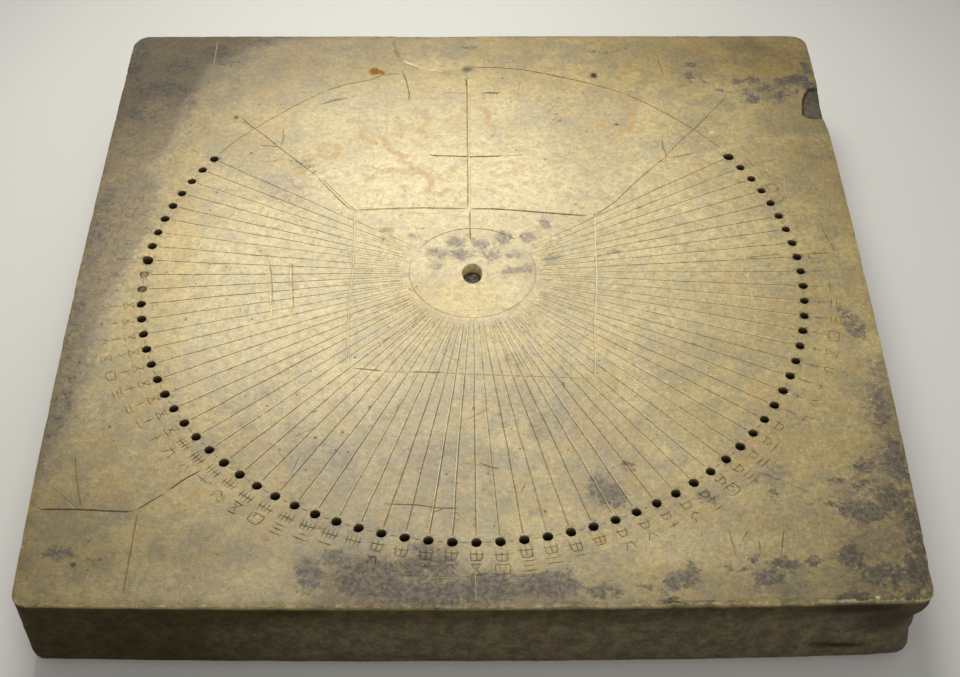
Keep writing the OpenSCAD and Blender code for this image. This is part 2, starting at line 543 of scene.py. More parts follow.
SQUARE = (
    Line(((-42.6, 32.9), (-30, 33.6), (-18, 34.0), (-1.6, 33.4)), 0.4, 0.24, DARK, 0.65),
    Line(((-43, 32.4), (-30, 33.1), (-18, 33.5), (-3, 33.0)), 0.5, 0.2, PALE, 0.8),
    Line(((-0.6, 33.3), (8, 33.2), (20, 31.8), (42, 29.2)), 0.75, 0.42, DARK, 1.0),
    Line(((-43, 32), (-42.2, 14)), 1.1, 0.35, PALE, 0.9, 0.5),
    Line(((-42.2, 14), (-42.3, 0), (-42.8, -14), (-42.4, -28), (-41.5, -43)), 0.9, 0.2, PALE, 0.5),
    Line(((44.3, 29), (43.6, 15), (43.4, 3), (42.8, -8), (41.8, -18), (41, -25)), 1.0, 0.34, PALE, 0.85, 0.5),
    Line(((41, -25), (40.6, -38), (39.7, -50)), 0.8, 0.2, PALE, 0.5),
    Line(((-40.4, -44.4), (-35, -45.2), (-30, -45.9)), 0.6, 0.3, DARK, 0.8),
    Line(((-21, -46.2), (-9, -46.6)), 0.5, 0.2, DARK, 0.6),
    Line(((-30, -46.2), (-10, -47), (15, -48.4), (39.7, -49.6)), 0.5, 0.12, PALE, 0.3),
)
DIAGONALS = (
    Line(((-43, 32.3), (-47, 37), (-52, 44), (-57, 50.5)), 1.1, 0.32, PALE, 0.7, 0.5),
    Line(((-43.8, 32.2), (-48, 37), (-53, 44), (-58, 51)), 0.4, 0.3, DARK, 0.8),
    Line(
        ((-57.5, 51), (-66, 60), (-73, 67.5), (-80, 75.5), (-86, 81.5), (-90, 87)),
        0.45, 0.22, DARK, 0.5, 4.0,
    ),
    Line(((-73, 80), (-72, 74), (-73, 68)), 0.4, 0.2, DARK, 0.5),
    Line(((-82, 69.5), (-73, 68.3)), 0.4, 0.2, DARK, 0.5),
    Line(((44, 29), (52, 36.5), (60, 47), (66, 54), (73, 62)), 0.45, 0.24, DARK, 0.5),
    Line(((73, 62), (79, 71), (86, 79), (97, 94), (101, 99)), 0.45, 0.2, DARK, 0.38, 4.0),
    Line(((73, 72.5), (72.3, 68), (73.5, 64), (73, 61)), 0.6, 0.32, DARK, 0.8),
    Line(((74.5, 61.2), (85, 64.5)), 0.5, 0.26, DARK, 0.7),
)
BACK_LINES = (
    Line(((-1.3, 113), (-1.3, 80), (-1.2, 34)), 1.0, 0.35, PALE, 0.75, 0.6),
    Line(((-2.0, 112), (-2.0, 80), (-1.9, 34)), 0.35, 0.25, DARK, 0.6),
    Line(((-1.1, 33), (-1.0, 16)), 0.5, 0.32, DARK, 0.9),
    Line(((-17.3, 63.6), (-12, 63), (-6, 62.8), (-1, 62.3), (5, 62.5), (12, 62.8)), 0.75, 0.42, DARK, 0.95),
    Line(((12, 62.8), (21, 63.5)), 0.45, 0.2, DARK, 0.5, 3.0),
    Line(((-3, 111), (-2.3, 108), (-2, 105)), 0.6, 0.4, DARK, 0.9),
    Line(((4, 101), (12, 101)), 0.8, 0.45, DARK, 1.0, 0.6),
    Line(((-12, 101.5), (0, 100.3)), 0.4, 0.15, DARK, 0.35),
    Line(((-28, 116), (-26, 108), (-24.6, 100), (-25, 96)), 0.6, 0.28, DARK, 0.6),
    Line(((-60, 93.5), (-54, 96.5), (-48, 98)), 0.5, 0.25, DARK, 0.8),
)
RIM_BACK = (
    Line(
        ((0, 117.5), (10, 117.3), (20, 116), (30, 113), (40, 109.5), (50, 105.5), (60, 100.5)),
        0.5, 0.26, DARK, 0.7,
    ),
    Line(((60, 100.5), (70, 93), (78, 85.5), (86, 77.5), (95, 66.5)), 0.5, 0.26, DARK, 0.65),
    Line(((-28, 113.5), (-35, 113), (-40, 109.5), (-50, 106.5), (-58, 102.5)), 0.45, 0.2, DARK, 0.5),
    Line(((-58, 102.5), (-70, 92.5), (-80, 83), (-90, 72.5), (-96, 64)), 0.45, 0.15, DARK, 0.32),
)
SIDE_BARS = (
    Line(((-80, 9.3), (-73.5, 9)), 0.5, 0.24, DARK, 0.7),
    Line(((-73.3, 9), (-72, 4), (-71, -3), (-70.3, -9), (-69.5, -16), (-68.5, -22)), 0.9, 0.36, PALE, 1, 0.6),
    Line(((-72.3, 7), (-71.2, 3), (-70.2, -3), (-69.5, -9), (-68.7, -16)), 0.35, 0.2, DARK, 0.5),
    Line(((-64.3, 6), (-63.8, -3), (-63, -10), (-62.3, -18), (-62, -21)), 0.9, 0.36, PALE, 1.0, 0.6),
    Line(((-63.5, 5), (-63, -3), (-62.2, -10), (-61.6, -17)), 0.35, 0.2, DARK, 0.45),
    Line(((-96.8, 18), (-98, 7), (-98.2, 0), (-99, -7)), 0.8, 0.25, PALE, 0.75),
    Line(((67.5, 12), (68, -8), (67.5, -20)), 0.7, 0.2, PALE, 0.5),
    Line(((94.5, 30), (95, 18), (96, 8), (96, 0), (96.3, -10), (95.5, -18)), 0.7, 0.22, PALE, 0.55),
    Line(((94, 50), (94.4, 46.5)), 0.7, 0.25, PALE, 0.9, 0.4),
    Line(((125.5, 28), (126.5, 20), (128.5, 12), (128, 9)), 0.5, 0.22, DARK, 0.5),
    Line(((96, 7.2), (110, 9.3)), 0.5, 0.22, DARK, 0.6),
    Line(((117, 9.4), (128, 9.6)), 0.5, 0.22, DARK, 0.6),
    Line(((128, 9), (128.3, -12)), 0.4, 0.12, PALE, 0.35),
)
CORNER_MARKS = (
    Line(((-133.6, -102), (-121, -102), (-110, -102.8), (-104, -103)), 0.7, 0.35, DARK, 0.85),
    Line(((-104, -103), (-98, -98), (-95, -95.5)), 0.6, 0.3, DARK, 0.7),
    Line(((-95, -95.5), (-90, -90.5), (-85, -87)), 0.7, 0.4, DARK, 1.0),
    Line(((-102.7, -103.5), (-102.8, -134)), 0.6, 0.2, DARK, 0.4),
    Line(((-125.5, -80.5), (-124, -88), (-121.5, -97), (-120, -101.5)), 0.4, 0.15, DARK, 0.4),
    Line(((104.6, -95), (105.2, -118)), 0.45, 0.12, PALE, 0.3, 4.0),
    Line(((87, -88), (95, -92), (104, -97)), 0.4, 0.15, DARK, 0.35, 3.0),
    Line(((76.8, -110), (77.2, -116), (78, -121)), 0.4, 0.2, DARK, 0.6),
    Line(((83, -110), (79.5, -116)), 0.4, 0.2, DARK, 0.5),
    Line(((85, -113), (85.5, -117), (84.5, -120.5)), 0.5, 0.25, DARK, 0.7),
    Line(((93.5, -110), (92, -117), (91, -121)), 0.5, 0.22, DARK, 0.6),
    Line(((-28, -100.5), (-18, -100.8), (-12, -102), (-5, -102.3)), 0.45, 0.22, DARK, 0.6),
    Line(((-13, -104), (-9, -102)), 0.4, 0.2, DARK, 0.6),
    Line(((1, -84.4), (8, -87.6)), 0.45, 0.22, DARK, 0.6),
    Line(((14, -97), (16, -92)), 0.4, 0.2, DARK, 0.5),
    Line(((-0.2, -122), (0.1, -129), (0.2, -136)), 0.5, 0.2, PALE, 0.7),
    Line(((-24, -127), (-10, -127.3), (4, -127.6), (18, -127.4)), 0.4, 0.1, PALE, 0.35, 5.0),
    Line(((-104, 136), (-103.5, 100)), 0.7, 0.15, PALE, 0.4, 4.0),
    Line(((75, 126), (76, 118), (77, 110)), 0.45, 0.15, DARK, 0.4),
    Line(((64, 130), (67, 122)), 0.4, 0.15, DARK, 0.4),
    Line(((70, 131), (72, 120)), 0.4, 0.12, DARK, 0.35),
)


@dataclass(frozen=True)
class Scribing:
    """Everything scribed in the face: hour lines, circles, the square with its arms, bars and scratches."""

    dial: Dial
    numerals: Numerals
    line_start: float = 22.9
    socket_clearance: float = 0.35
    line_width: float = 0.36
    line_depth: float = 0.24
    beside: float = 0.42
    circle_offset: tuple[float, float] = (-0.2, 0.6)
    scratch_count: int = 110
    scratch_reach: float = 125.0
    edge_reach: float = 132.0
    clear_of_rim: float = 3.0
    clear_of_centre: float = 8.0
    seed: int = 5

    def hour_lines(self) -> list[Stroke]:
        """Draws one line for each socket, from the small circle to the socket.

        A line is straight, plus a bow, a drift near the centre and the small bends of a hand-led point. Most
        have a pale rail beside them: painted highlight on the groove's lit edge.

        Returns:
            The lines, each followed by its rail of painted highlight.
        """
        rng = np.random.default_rng(self.seed)
        end = self.dial.rim_radius - self.dial.socket_radius - self.socket_clearance
        made = []
        for number in range(1, self.dial.count + 1):
            outward, across = self.dial.directions(number)
            radius = np.linspace(self.line_start + rng.uniform(-0.4, 1.2), end - 0.8, 34)
            radius = np.append(radius, end)
            share = (radius - radius[0]) / (end - radius[0])
            bow = rng.uniform(-0.28, 0.28) * np.sin(np.pi * share)
            drift = rng.uniform(-0.35, 0.35) * (1.0 - share) ** 2
            wander = np.interp(radius, np.linspace(20.0, 116.0, 17), rng.normal(0.0, 0.07, 17))
            path = radius[:, None] * outward + (bow + drift + wander)[:, None] * across
            strength = rng.uniform(0.55, 0.95)
            width = self.line_width * rng.uniform(0.85, 1.15)
            made.append(Stroke(path, width, self.line_depth * strength, DARK, strength, 0.5, 0.6))
            if rng.random() < 0.75:
                highlight_rail = path[:-1] + self.beside * np.sign(rng.uniform(-1.0, 1.0)) * across
                made.append(Stroke(highlight_rail, 0.36, 0.03, PALE, rng.uniform(0.4, 0.9), 4.0))
        return made

    def doubled_starts(self) -> list[Stroke]:
        """Draws second tries between the hour lines near the small circle, lighter than the lines.

        Returns:
            One straight stroke for each gap between two lines.
        """
        rng = np.random.default_rng(self.seed + 1)
        made = []
        for number in range(1, self.dial.count):
            turn = self.dial.angle(number + rng.uniform(0.35, 0.65))
            radius = np.linspace(rng.uniform(22.8, 26.0), rng.uniform(30.0, 52.0), 10)
            mark = PALE if rng.random() < 0.75 else DARK
            path = radius[:, None] * heading(turn)
            made.append(Stroke(path, 0.36, 0.08, mark, rng.uniform(0.25, 0.6), 3.0))
        return made

    def circles(self) -> list[Stroke]:
        """Draws the small circle, strong on one stretch only, and the rim circle between the sockets.

        Returns:
            Two arcs of the small circle, then one arc for each gap between two sockets.
        """
        dial = self.dial
        made = []
        for first, last, depth, strength in ((40.0, 150.0, 0.2, 0.6), (158.0, 392.0, 0.1, 0.14)):
            path = dial.arc(dial.inner_radius, first, last, 1.5) + np.array(self.circle_offset)
            made.append(Stroke(path, 0.4, depth, DARK, strength, 6.0))
        rng = np.random.default_rng(self.seed + 2)
        margin = np.degrees((dial.socket_radius + self.socket_clearance) / dial.rim_radius)
        for number in range(1, dial.count):
            start = np.degrees(dial.angle(number)) - margin
            stop = np.degrees(dial.angle(number + 1)) + margin
            path = dial.arc(dial.rim_radius, start, stop, 1.6)
            made.append(Stroke(path, 0.4, 0.18, DARK, rng.uniform(0.25, 0.6), 0.4))
        return made

    def scratches(self) -> list[Stroke]:
        """Draws seeded fine scratches, each with one bend.

        Returns:
            Those that are clear of the sockets and the edge.
        """
        rng = np.random.default_rng(self.seed + 3)
        made = []
        for _ in range(self.scratch_count):
            start = rng.uniform(-self.scratch_reach, self.scratch_reach, 2)
            turn = rng.uniform(0.0, np.pi)
            run = rng.uniform(3.0, 15.0) * heading(turn)
            middle = start + 0.5 * run + rng.uniform(-0.5, 0.5, 2)
            mark = PALE if rng.random() < 0.45 else DARK
            strength = rng.uniform(0.2, 0.5)
            path = resample(np.array([start, middle, start + run]), 3.0)
            radius = lengths(path)
            clear = (np.abs(radius - self.dial.rim_radius) > self.clear_of_rim).all()
            clear &= (radius > self.clear_of_centre).all() and (np.abs(path) < self.edge_reach).all()
            if clear:
                made.append(Stroke(path, 0.34, 0.06, mark, strength, 2.0))
        return made

    def strokes(self) -> list[Stroke]:
        """All strokes of the face."""
        measured = SQUARE + DIAGONALS + BACK_LINES + RIM_BACK + SIDE_BARS + CORNER_MARKS
        made = self.hour_lines() + self.doubled_starts() + self.circles()
        return made + [line.stroke() for line in measured] + self.numerals.strokes() + self.scratches()


# Sockets, losses and stains


@dataclass(frozen=True)
class Hole:
    """A socket: a ring of points that is carried down by pairs of radius share and depth.

    In direction t the mouth's radius is the mean of the two half sizes blended by the direction, times
    1 plus a small seeded wave, and the wave dies out with depth.
    """

    centre: tuple[float, float]
    half_sizes: tuple[float, float]
    profile: Points
    points: int
    ragged: float
    seed: int
    turn: float = 0.0
    blend_depth: float = 1.2

    def rings(self, surface: "FaceRelief") -> Array:
        """The rings from the mouth down, each with one row for each point.

        Args:
            surface: the face's relief, which gives the height at the mouth.

        Returns:
            An array of rings, points and coordinates, from the dial's centre and the underside.
        """
        t = 2.0 * np.pi * np.arange(self.points) / self.points
        rng = np.random.default_rng(self.seed)
        wave = np.zeros(self.points)
        for order in (2, 3, 5):
            wave += rng.normal(0.0, self.ragged / order) * np.cos(order * t + rng.uniform(0.0, 6.28))
        long, wide = self.half_sizes
        oval = long * wide / np.hypot(wide * np.cos(t), long * np.sin(t))
        flat = []
        for share, depth in self.profile:
            fade = np.exp(-depth / self.blend_depth)
            size = (oval * fade + min(long, wide) * (1.0 - fade)) * share * (1.0 + wave * fade)
            flat.append(np.array(self.centre) + size[:, None] * heading(t + self.turn))
        flat[0] = rounded(flat[0])
        top = surface.height(flat[0])
        return np.stack([np.column_stack([xy, top - depth]) for xy, (_, depth) in zip(flat, self.profile)])


@dataclass(frozen=True)
class Sockets:
    """The 69 rim sockets and the centre socket, each with its own small faults."""

    dial: Dial
    rim_profile: Points = ((1.0, 0.0), (0.96, 0.25), (0.95, 1.2), (0.94, 4.5), (0.9, 9.3))
    centre_profile: Points = ((1.0, 0.0), (0.93, 0.4), (0.88, 1.1), (0.86, 2.4), (0.84, 4.4), (0.8, 9.0))
    ragged: float = 0.035
    points: int = 24
    seed: int = 17

    def rim(self) -> list[Hole]:
        """The rim sockets: every mouth is slightly out of round.

        The first and the 61st are larger and more ragged, and the two with crust in them are plain.

        Returns:
            The sockets in the order of their numbers.
        """
        rng = np.random.default_rng(self.seed)
        sizes = {1: (1.15, 1.28), 61: (1.15, 1.42), 60: (1.0, 1.0), 59: (1.0, 1.0)}
        made = []
        for number in range(1, self.dial.count + 1):
            drawn = rng.uniform(0.94, 1.04, 2)
            half_sizes = tuple(self.dial.socket_radius * np.array(sizes.get(number, drawn)))
            ragged = self.ragged * (2.0 if number in (1, 61) else 1.0)
            outward, _ = self.dial.directions(number)
            place = tuple(self.dial.rim_radius * outward)
            turn = rng.uniform(0.0, np.pi)
            made.append(Hole(place, half_sizes, self.rim_profile, self.points, ragged, 100 + number, turn))
        return made

    def centre(self) -> Hole:
        """The centre socket: an upright oval mouth that narrows to a round wall over the earth in it."""
        return Hole(self.dial.centre_socket, (5.0, 3.7), self.centre_profile, 44, 0.02, 9, np.pi / 2.0, 9.0)


@dataclass(frozen=True)
class Spot:
    """A soft oval on the face: its place, half sizes, strength and turn in degrees."""

    x: float
    y: float
    across: float
    along: float
    strength: float = 1.0
    turn: float = 0.0

    def field(self, points: Array) -> Array:
        """Strength times a smooth fall from 1 at half of the half size to 0 at one and a half of it."""
        turn = np.radians(self.turn)
        offset = points - np.array([self.x, self.y])
        u = (offset[:, 0] * np.cos(turn) + offset[:, 1] * np.sin(turn)) / self.across
        v = (offset[:, 1] * np.cos(turn) - offset[:, 0] * np.sin(turn)) / self.along
        return self.strength * smoothstep(1.5, 0.5, np.hypot(u, v))


@dataclass(frozen=True)
class Region:
    """A part of the face inside a polygon, with a soft border that the finish tears."""

    corners: Points
    strength: float
    softness: float = 5.0

    def field(self, points: Array) -> Array:
        """Strength times a half at the border, rising or falling in a straight line over the softness."""
        gap = gap_to(points, self.corners + self.corners[:1])
        side = np.where(inside(points, self.corners), 1.0, -1.0)
        return self.strength * np.clip(0.5 + 0.5 * side * gap / self.softness, 0.0, 1.0)


def spots(*rows: tuple[float, ...]) -> tuple[Spot, ...]:
    """Makes a spot of each row, which holds its fields in order."""
    return tuple(Spot(*row) for row in rows)


def strongest(shapes: Iterable[Spot | Region], points: Array) -> Array:
    """The largest of the shapes' strengths at each point."""
    return np.max([shape.field(points) for shape in shapes], axis=0)


PATINA = spots(
    (-124, 104, 12, 6, 0.66), (-128, 88, 8, 5, 0.56), (-112, 92, 6, 7, 0.50), (-118, 118, 9, 6, 0.6),
    (-104, 129, 7, 5, 0.64), (-88, 134, 9, 2.5, 0.6), (-134, 122, 4, 16, 0.7), (-113, 103, 6, 3, 0.66),
    (-97, 120, 7, 2.5, 0.6, -10), (-134, 24, 4, 30, 0.56), (-135, -24, 3, 20, 0.55),
    (-133, -62, 4, 16, 0.55), (-124, -118, 6, 3, 0.68), (-114, -121, 3, 2, 0.55), (-1, 131, 4, 1.5, 0.7),
    (49, 128, 3, 1.2, 0.8, -40), (56, 127.5, 5, 1.2, 0.66, 8), (63, 131, 3, 1.4, 0.6, 40),
    (88, 119, 2.6, 2.2, 0.82), (87, 111.5, 1.8, 3.0, 0.86), (92, 107.5, 2.6, 1.8, 0.6, -30),
    (98, 102.5, 2.0, 1.5, 0.86), (106, 108, 3.4, 2.4, 0.78), (112, 109, 3.4, 3, 0.7),
    (107, 102, 3.4, 2.2, 0.66), (110.5, 96.5, 3.2, 2.8, 0.88, 30), (116, 103.5, 3.6, 3, 0.62),
    (122, 98.5, 3.6, 3.4, 0.74), (120, 94, 4, 1.2, 0.7), (123, 108, 3.6, 3, 0.82),
    (130, 109, 5.5, 3.6, 0.96), (134, 117, 2.2, 5, 0.75), (134, 105, 3.2, 3, 0.9),
    (128, 101, 3, 1.5, 0.75, 20), (116, 87, 2, 3, 0.5), (129, -26, 4, 6, 0.84), (126, -19, 3, 3, 0.62),
    (133, -44, 2.5, 6, 0.62), (131, -62, 4, 10, 0.7), (132, -84, 4, 11, 0.86), (123, -86, 5, 4, 0.62),
    (121, -94, 6, 3, 0.66), (118, -104, 8, 5, 0.86), (129, -99, 6, 6, 0.84), (108, -101, 5, 2, 0.66),
    (112, -92, 3, 2, 0.62), (133, -112, 3, 12, 0.82), (112, -121, 4, 5, 0.84, 10), (121, -127, 8, 5, 0.82),
    (131, -125, 4, 7, 0.9), (110, -135, 6, 2.4, 0.86), (128, -134, 7, 3, 0.66), (92, -123, 5, 3, 0.84),
    (88, -128, 7, 3, 0.78, 10), (101, -122, 4, 2.5, 0.62), (74, -124, 3, 1.6, 0.74, -20),
    (79, -125, 3, 1.4, 0.6, -10), (84, -121, 4, 2, 0.66), (61, -129, 7, 4, 0.84, 20), (64, -124, 2, 3, 0.7),
    (50, -131, 3, 2, 0.7), (58, -136, 6, 2, 0.6), (38, -132, 7, 3.4, 0.84), (22, -130, 11, 5, 0.86),
    (4, -131, 9, 6, 0.88), (-12, -133, 16, 5, 0.86), (-14, -123, 10, 8, 0.7), (-31, -128, 10, 9, 0.78),
    (-42, -120, 5, 3, 0.7), (-49, -127, 5, 7, 0.74), (72, -98, 4, 2.2, 0.74), (92, -98, 2.4, 4, 0.62, 20),
    (37, -94, 4, 5, 0.66), (42, -98, 5, 5.5, 0.76), (48, -86, 3, 3, 0.6), (-7, 16, 3.4, 2.6, 0.9),
    (-12, 9.5, 4.4, 2.6, 0.92, -10), (-4, 9, 4.6, 2.8, 0.82), (-13, 4, 3, 3, 0.62), (3, 14.5, 3, 2.6, 0.86),
    (7, 9, 3.6, 3.4, 0.74), (11, 18, 3.4, 3.4, 0.94, 30), (-1, 17, 3, 2, 0.66), (15, 9, 4.4, 3, 0.72),
    (14, 1, 4.6, 2, 0.9, 12), (19, 2, 3, 2.6, 0.84), (20, 18, 3.4, 2.8, 0.84), (26, 25, 1.8, 3.2, 0.98, 25),
    (-22, 19, 1.8, 0.9, 1.0, -30), (-31.5, 22, 2.6, 1.8, 0.92), (-32, 17, 1.8, 1.6, 0.84),
    (28, 7, 4, 2.4, 0.62), (50, 11, 5, 2.4, 0.52), (34, 88, 5, 7, 0.42), (-64, 58, 8, 5, 0.42, -30),
)
VEILS = (
    Region(
        (
            (-160, 160), (-62, 160), (-66, 135), (-88, 130), (-93, 122), (-103, 118), (-106, 108), (-109, 98),
            (-110, 84), (-112, 70), (-118, 58), (-128, 52), (-160, 50),
        ),
        0.92,
    ),
    Region(
        (
            (-160, 62), (-120, 62), (-114, 46), (-114, 22), (-119, 2), (-125, -14), (-126, -60), (-132, -90),
            (-160, -98),
        ),
        0.84,
    ),
    Region(
        (
            (-54, -119), (-46, -122), (-36, -116), (-25, -118), (-16, -115), (-8, -117), (-3, -125),
            (6, -124), (18, -126), (31, -130), (35, -160), (-50, -160), (-48, -130),
        ),
        0.90,
    ),
    Region(
        (
            (106, -160), (104, -120), (109, -112), (108, -96), (114, -88), (123, -76), (127, -40), (160, -36),
            (160, -160),
        ),
        0.62,
    ),
    Region(((103, 106), (118, 110), (160, 114), (160, 103), (130, 103), (125, 95), (108, 94)), 0.6, 4.0),
    Region(((77, -136), (78, -121), (92, -119), (103, -122), (101, -137)), 0.6),
    *spots(
        (91, 110, 6, 8, 0.5, 20), (-48, -84, 14, 9, 0.52, -10), (-14, -82, 10, 11, 0.50),
        (21, -66, 11, 9, 0.50), (2, -92, 30, 12, 0.34), (-70, -66, 26, 16, 0.34, 20),
        (40, -96, 9, 8, 0.6, 20), (2, 11, 20, 8, 0.36, 5), (-14, 124, 13, 7, 0.44),
        (-70, 44, 14, 9, 0.5, -25), (92, -90, 9, 6, 0.55, 30),
    ),
)
# Cream areas of the stone, which also paint the pool of light and sheen on the middle and back of the face
CREAM_AND_LIGHT = spots(
    (-6, 46, 52, 32, 0.9), (-48, 46, 18, 14, 0.7), (-20, 92, 50, 22, 0.4), (0, -12, 20, 12, 0.9),
    (-76, -6, 44, 44, 0.6), (-36, -30, 44, 34, 0.4), (-84, -130, 30, 8, 0.6), (70, -118, 20, 8, 0.35),
    (56, 22, 44, 40, 0.55), (-8, 18, 46, 22, 0.8), (20, -20, 60, 20, 0.4), (-13, 120, 9, 4, 0.7),
)
WARM = spots(
    (20, 122, 128, 22, 0.85, -2), (124, 84, 16, 40, 0.1), (126, 20, 14, 44, 0.15),
    (104, -62, 26, 24, 0.2, -20), (114, 122, 22, 12, 1.2), (-132, 70, 12, 60, 0.6),
    (-108, 10, 10, 110, 0.75), (-100, -100, 44, 36, 0.7), (-92, 92, 26, 22, 0.6), (-6, -12, 16, 10, 0.9),
)
RUST = spots(
    (-39, 115, 2.4, 2.6, 1.0), (-36, 114, 1.6, 1.4, 0.8), (-91.5, 86, 1.1, 1.3, 1.0),
    (14, 74, 2.2, 1.6, 0.4), (-83, -108, 1.6, 1.2, 0.4),
)
DARK_SPOTS = spots(
    (48.7, 112, 1.5, 2.0, 1.1), (55.8, 81.3, 0.8, 0.8, 0.9), (-119, -122.3, 1.1, 1.1, 0.9),
    (-53, 97, 2.4, 1.0, 0.5, 10), (-2, 116.5, 2.3, 1.9, 0.8), (-88, 83, 1.0, 0.8, 0.5),
)
WHITE_SPECKS = spots((92, 76.5, 0.7, 0.7, 1.0), (117.5, -135, 0.6, 0.6, 0.9), (-2, 7, 1.2, 0.7, 0.4))
# Reddish stains that wander like roots behind the square
STAINS = (
    ((-39, 49), (-34, 54), (-29, 55.5), (-25, 53), (-21, 55), (-17, 52), (-12, 51), (-8, 54), (-6, 57)),
    ((-28, 61), (-23, 58), (-22, 53)),
    ((-17, 52), (-15, 47), (-17, 43), (-12, 41), (-9, 44)),
    ((-34, 73), (-31, 66), (-27, 63), (-22, 62)),
    ((-19, 90), (-17, 84), (-20, 79), (-17, 74)),
    ((3, 92), (7, 88), (5, 84), (8, 80)),
    ((-58, 66), (-56, 70), (-52, 70), (-50, 66), (-53, 62), (-57, 62), (-58, 66)),
    ((-46, 85), (-41, 80), (-43, 75), (-38, 71)),
    ((-30, 85), (-26, 80), (-28, 75)),
    ((60, 92), (63, 86), (61, 80), (57, 76)),
    ((-66, 52), (-62, 56), (-62, 61)),
)
# Painted shade: spots added to the shade level where the light falls off on the face
SHADED = spots(
    (-134, 132, 40, 40, 0.7), (134, 130, 26, 30, 0.15), (-70, -100, 60, 36, 0.14), (-14, -80, 50, 40, 0.22),
    (-138, 20, 10, 80, 0.12), (118, 35, 26, 50, 0.22), (0, 116, 90, 20, 0.16),
)
# Facets and shadowed hollows of the broken corner: across and down the front side
BREAK_FACETS = spots((109, 11, 8, 6, 0.75), (128, 23, 6, 6, 0.9), (92, 5, 6, 3, 0.5))
BREAK_HOLLOWS = spots((113, 3.2, 12, 2.4, 1.0), (124, 11, 9, 6, 0.8), (110, 23.5, 8, 1.5, 1.0, 4))
FLAKE_LIP = (
    (-31.5, 129), (-31, 126), (-29.6, 122.5), (-26, 119.5), (-20, 116), (-14, 114.5), (-7, 113), (-2, 112),
)
FLAKE_EDGE = FLAKE_LIP + ((1.5, 114), (3, 119), (3, 140), (-31.5, 140))
CHIP_LIP = ((136, 104.5), (132.5, 103), (130, 97.5), (129, 92), (128.3, 87), (130.5, 84.6), (135.9, 84))
CHIP_EDGE = CHIP_LIP + ((142, 83), (142, 105))


@dataclass(frozen=True)
class Pits:
    """Small seeded pits all over the face, away from the sockets."""

    dial: Dial
    count: int = 420
    seed: int = 3
    reach: float = 131.0
    clear_of_rim: float = 3.4
    clear_of_centre: float = 8.0

    def rows(self) -> Array:
        """Draws the pits, and drops those near a socket.

        Returns:
            One row for each pit: x, y, radius and depth.
        """
        rng = np.random.default_rng(self.seed)
        place = rng.uniform(-self.reach, self.reach, (self.count, 2))
        radius = rng.uniform(0.3, 0.75, self.count) * rng.uniform(0.6, 1.0, self.count)
        depth = radius * rng.uniform(0.25, 0.5, self.count)
        distance = lengths(place)
        keep = np.abs(distance - self.dial.rim_radius) > self.clear_of_rim
        keep &= distance > self.clear_of_centre
        return np.column_stack([place, radius, depth])[keep]


